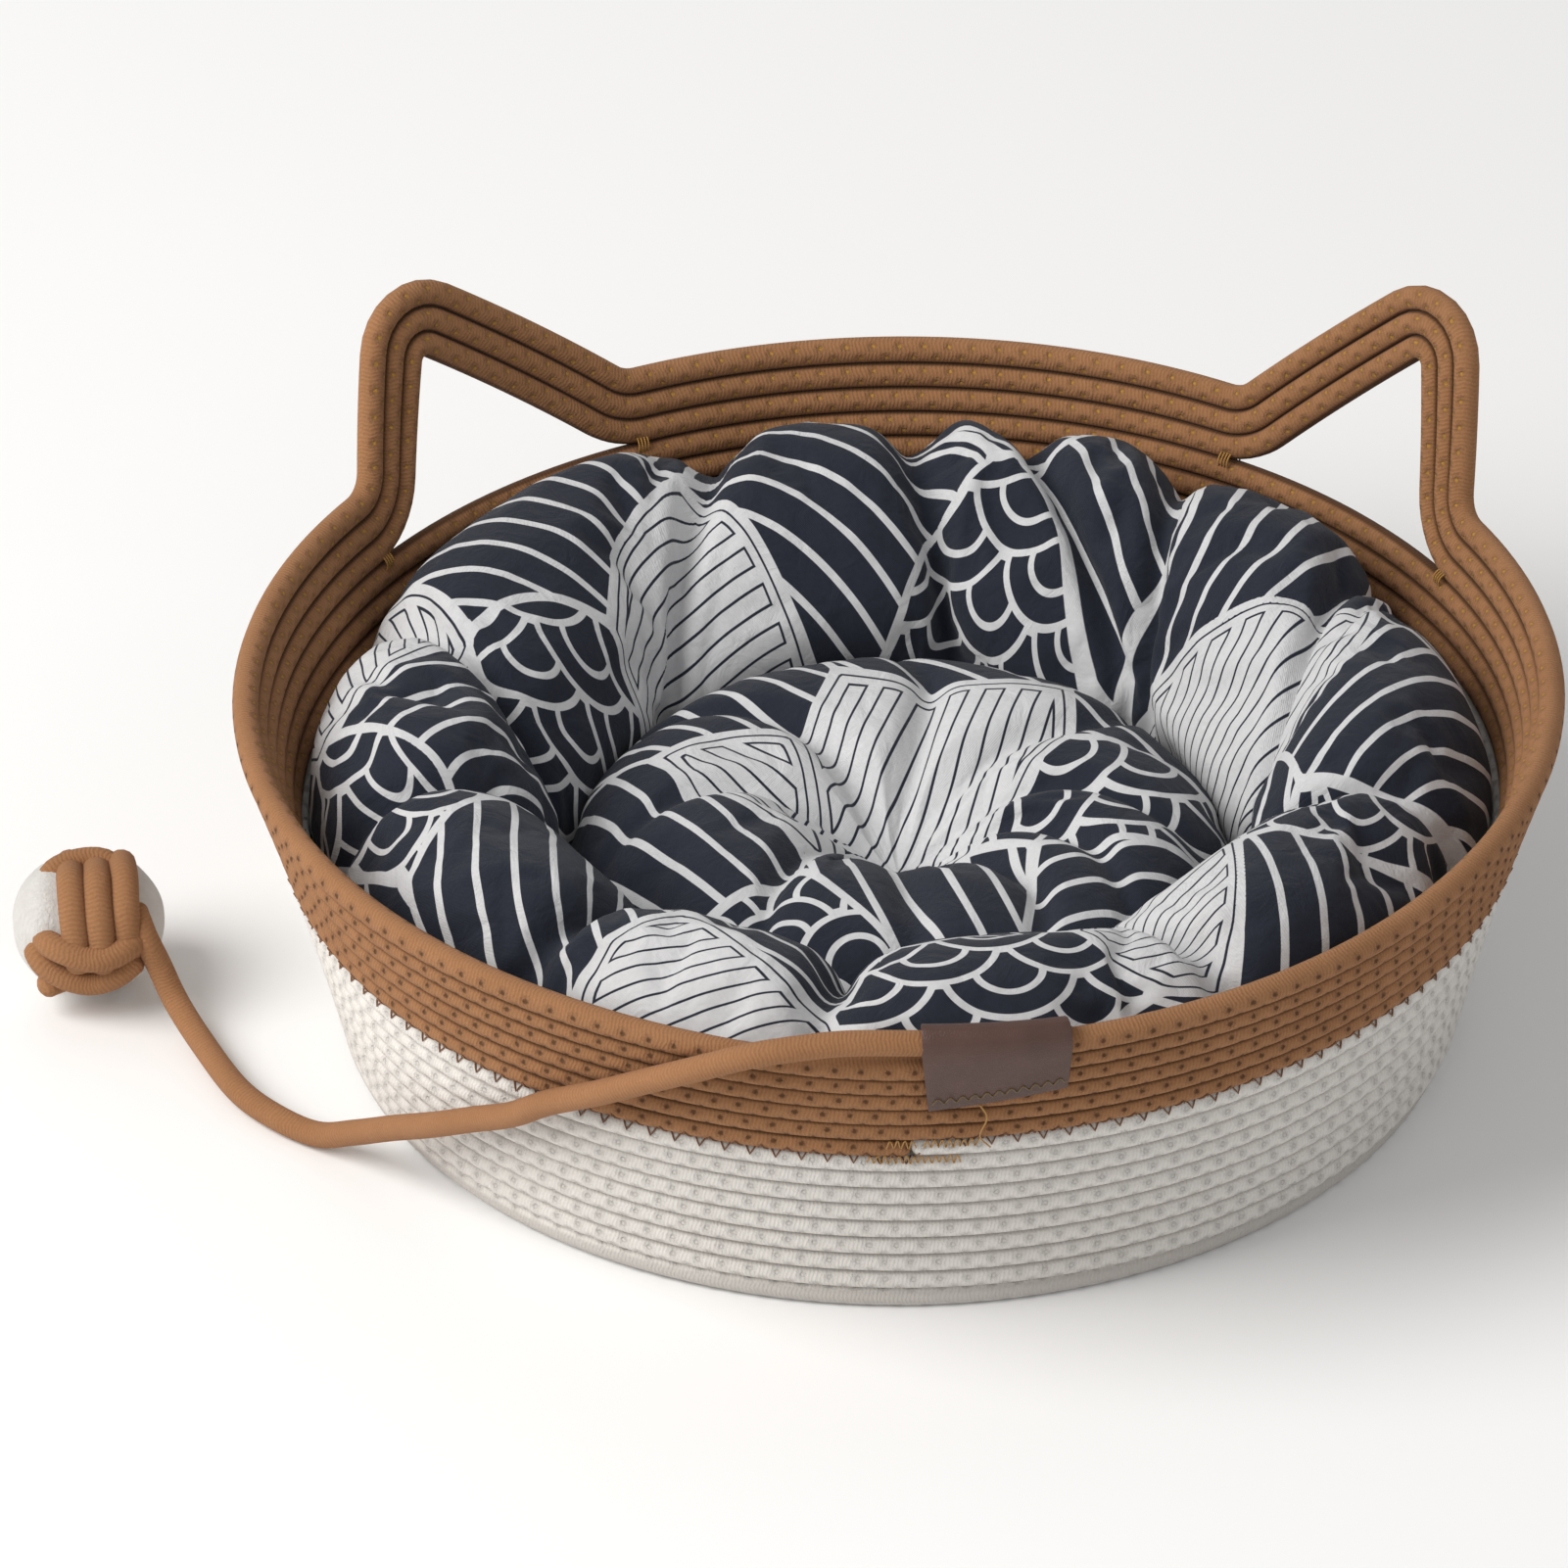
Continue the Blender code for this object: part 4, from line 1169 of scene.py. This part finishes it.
bpy.ops.object.modifier_apply(modifier="smooth")
for face in pad.data.polygons:
    face.use_smooth = True
pad_patches = []
for x, y, kind, lie, bend, push in (
    (0.010, 0.036, BARS, 72, 0.22, 0.012), (-0.043, 0.012, BARS, -24, 0.30, -0.008),
    (0.016, 0.086, STRIPES, -50, 0.25, 0.006), (-0.072, -0.028, STRIPES, -55, 0.30, 0.006),
    (-0.066, 0.052, STRIPES, -46, 0.25, 0.004), (0.062, 0.006, SCALES, 215, 0.1, 0.000),
    (0.074, 0.050, STRIPES, -40, 0.2, 0.004), (0.016, -0.050, STRIPES, -70, 0.16, 0.002),
    (-0.030, -0.082, SCALES, 20, 0.1, 0.000), (0.062, -0.062, STRIPES, 30, -0.14, 0.004),
):
    pad_patches.append((*pad_cloth(x, y), kind, lie, bend, push))
lay_print(pad, pad_patches, 0.0)
pad.data.materials.append(print_cloth)
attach(pad, "cushion")
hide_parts("pad_filling")

# ---------------------------------------------------------------------------
# Base cloth: the plain disc of cotton that closes the cushion underneath.
# It is cut round, turned in at the edge and laid on the coiled base.

bpy.ops.object.select_all(action="DESELECT")
base_radius = 0.1435
bpy.ops.mesh.primitive_circle_add(vertices=96, radius=base_radius, fill_type="NGON", location=(0, 0, 0.0088))
base_cloth = bpy.context.object
base_cloth.name = "base_cloth"
bpy.ops.object.mode_set(mode="EDIT")
bpy.ops.mesh.select_all(action="SELECT")
for inset in (0.0030, 0.030, 0.040, 0.040):
    bpy.ops.mesh.inset(thickness=inset)
bpy.ops.object.mode_set(mode="OBJECT")
bpy.ops.object.transform_apply(location=True, rotation=True, scale=True)
wall = base_cloth.modifiers.new("wall", "SOLIDIFY")
wall.thickness = 0.0008
wall.offset = 0.0
bpy.ops.object.modifier_apply(modifier="wall")
f = Finish("lining_cotton", 0.85, sheen=0.1, specular=0.2)
spot = f.node("ShaderNodeTexCoord")
axis = f.node("ShaderNodeSeparateXYZ", Vector=spot.outputs["Object"])
warp = f.sum("SINE", f.sum("MULTIPLY", axis.outputs["X"], 2 * math.pi / 0.0008))
weft = f.sum("SINE", f.sum("MULTIPLY", axis.outputs["Y"], 2 * math.pi / 0.0008))
weave = f.sum("MULTIPLY_ADD", f.sum("MULTIPLY", warp, weft), 0.5, 0.5)
cloud = f.grain(spot.outputs["Object"], 60.0, 4.0)
shade = f.sum("MULTIPLY_ADD", weave, 0.3, f.sum("MULTIPLY", cloud, 0.7), clamp=True)
colour = f.mix(shade, (0.010, 0.013, 0.024), (0.022, 0.028, 0.046))
base_cloth.data.materials.append(f.finish(colour, f.sum("ADD", weave, cloud), 0.0003))
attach(base_cloth, "cushion")
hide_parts("cushion_base_cloth")

# ---------------------------------------------------------------------------
# Floor and light: a plain pale floor, one large soft light high at the left, and a weaker one at the right.

bpy.ops.object.select_all(action="DESELECT")
bpy.ops.mesh.primitive_plane_add(size=12.0, location=(0, 0, 0))
floor = bpy.context.object
floor.name = "floor"
f = Finish("floor_paper", 0.9, specular=0.1)
spot = f.node("ShaderNodeTexCoord")
colour = f.mix(f.grain(spot.outputs["Object"], 3.0, 2.0), (0.93, 0.93, 0.93), (0.95, 0.95, 0.95))
floor.data.materials.append(f.finish(colour, f.grain(spot.outputs["Object"], 400.0, 2.0), 0.0001, 0.1))
floor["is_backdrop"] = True


def soft_light(name, place, size, power, colour):
    data = bpy.data.lights.new(name, "AREA")
    data.shape = "DISK"
    data.size = size
    data.energy = power
    data.color = colour
    made = bpy.data.objects.new(name, data)
    bpy.context.scene.collection.objects.link(made)
    made.location = place
    made.rotation_euler = (Vector((0, 0, 0.05)) - Vector(place)).to_track_quat("-Z", "Y").to_euler()


soft_light("key", (-2.0, -0.8, 1.9), 2.2, 77.0, (1.0, 0.985, 0.96))
soft_light("fill", (1.6, -1.6, 1.6), 1.6, 5.0, (0.97, 0.98, 1.0))
world = bpy.data.worlds.new("world")
world.use_nodes = True
world.node_tree.nodes["Background"].inputs["Color"].default_value = (1.0, 1.0, 1.0, 1.0)
world.node_tree.nodes["Background"].inputs["Strength"].default_value = 0.46
bpy.context.scene.world = world
bpy.context.scene.view_settings.view_transform = "Standard"

low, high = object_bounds()
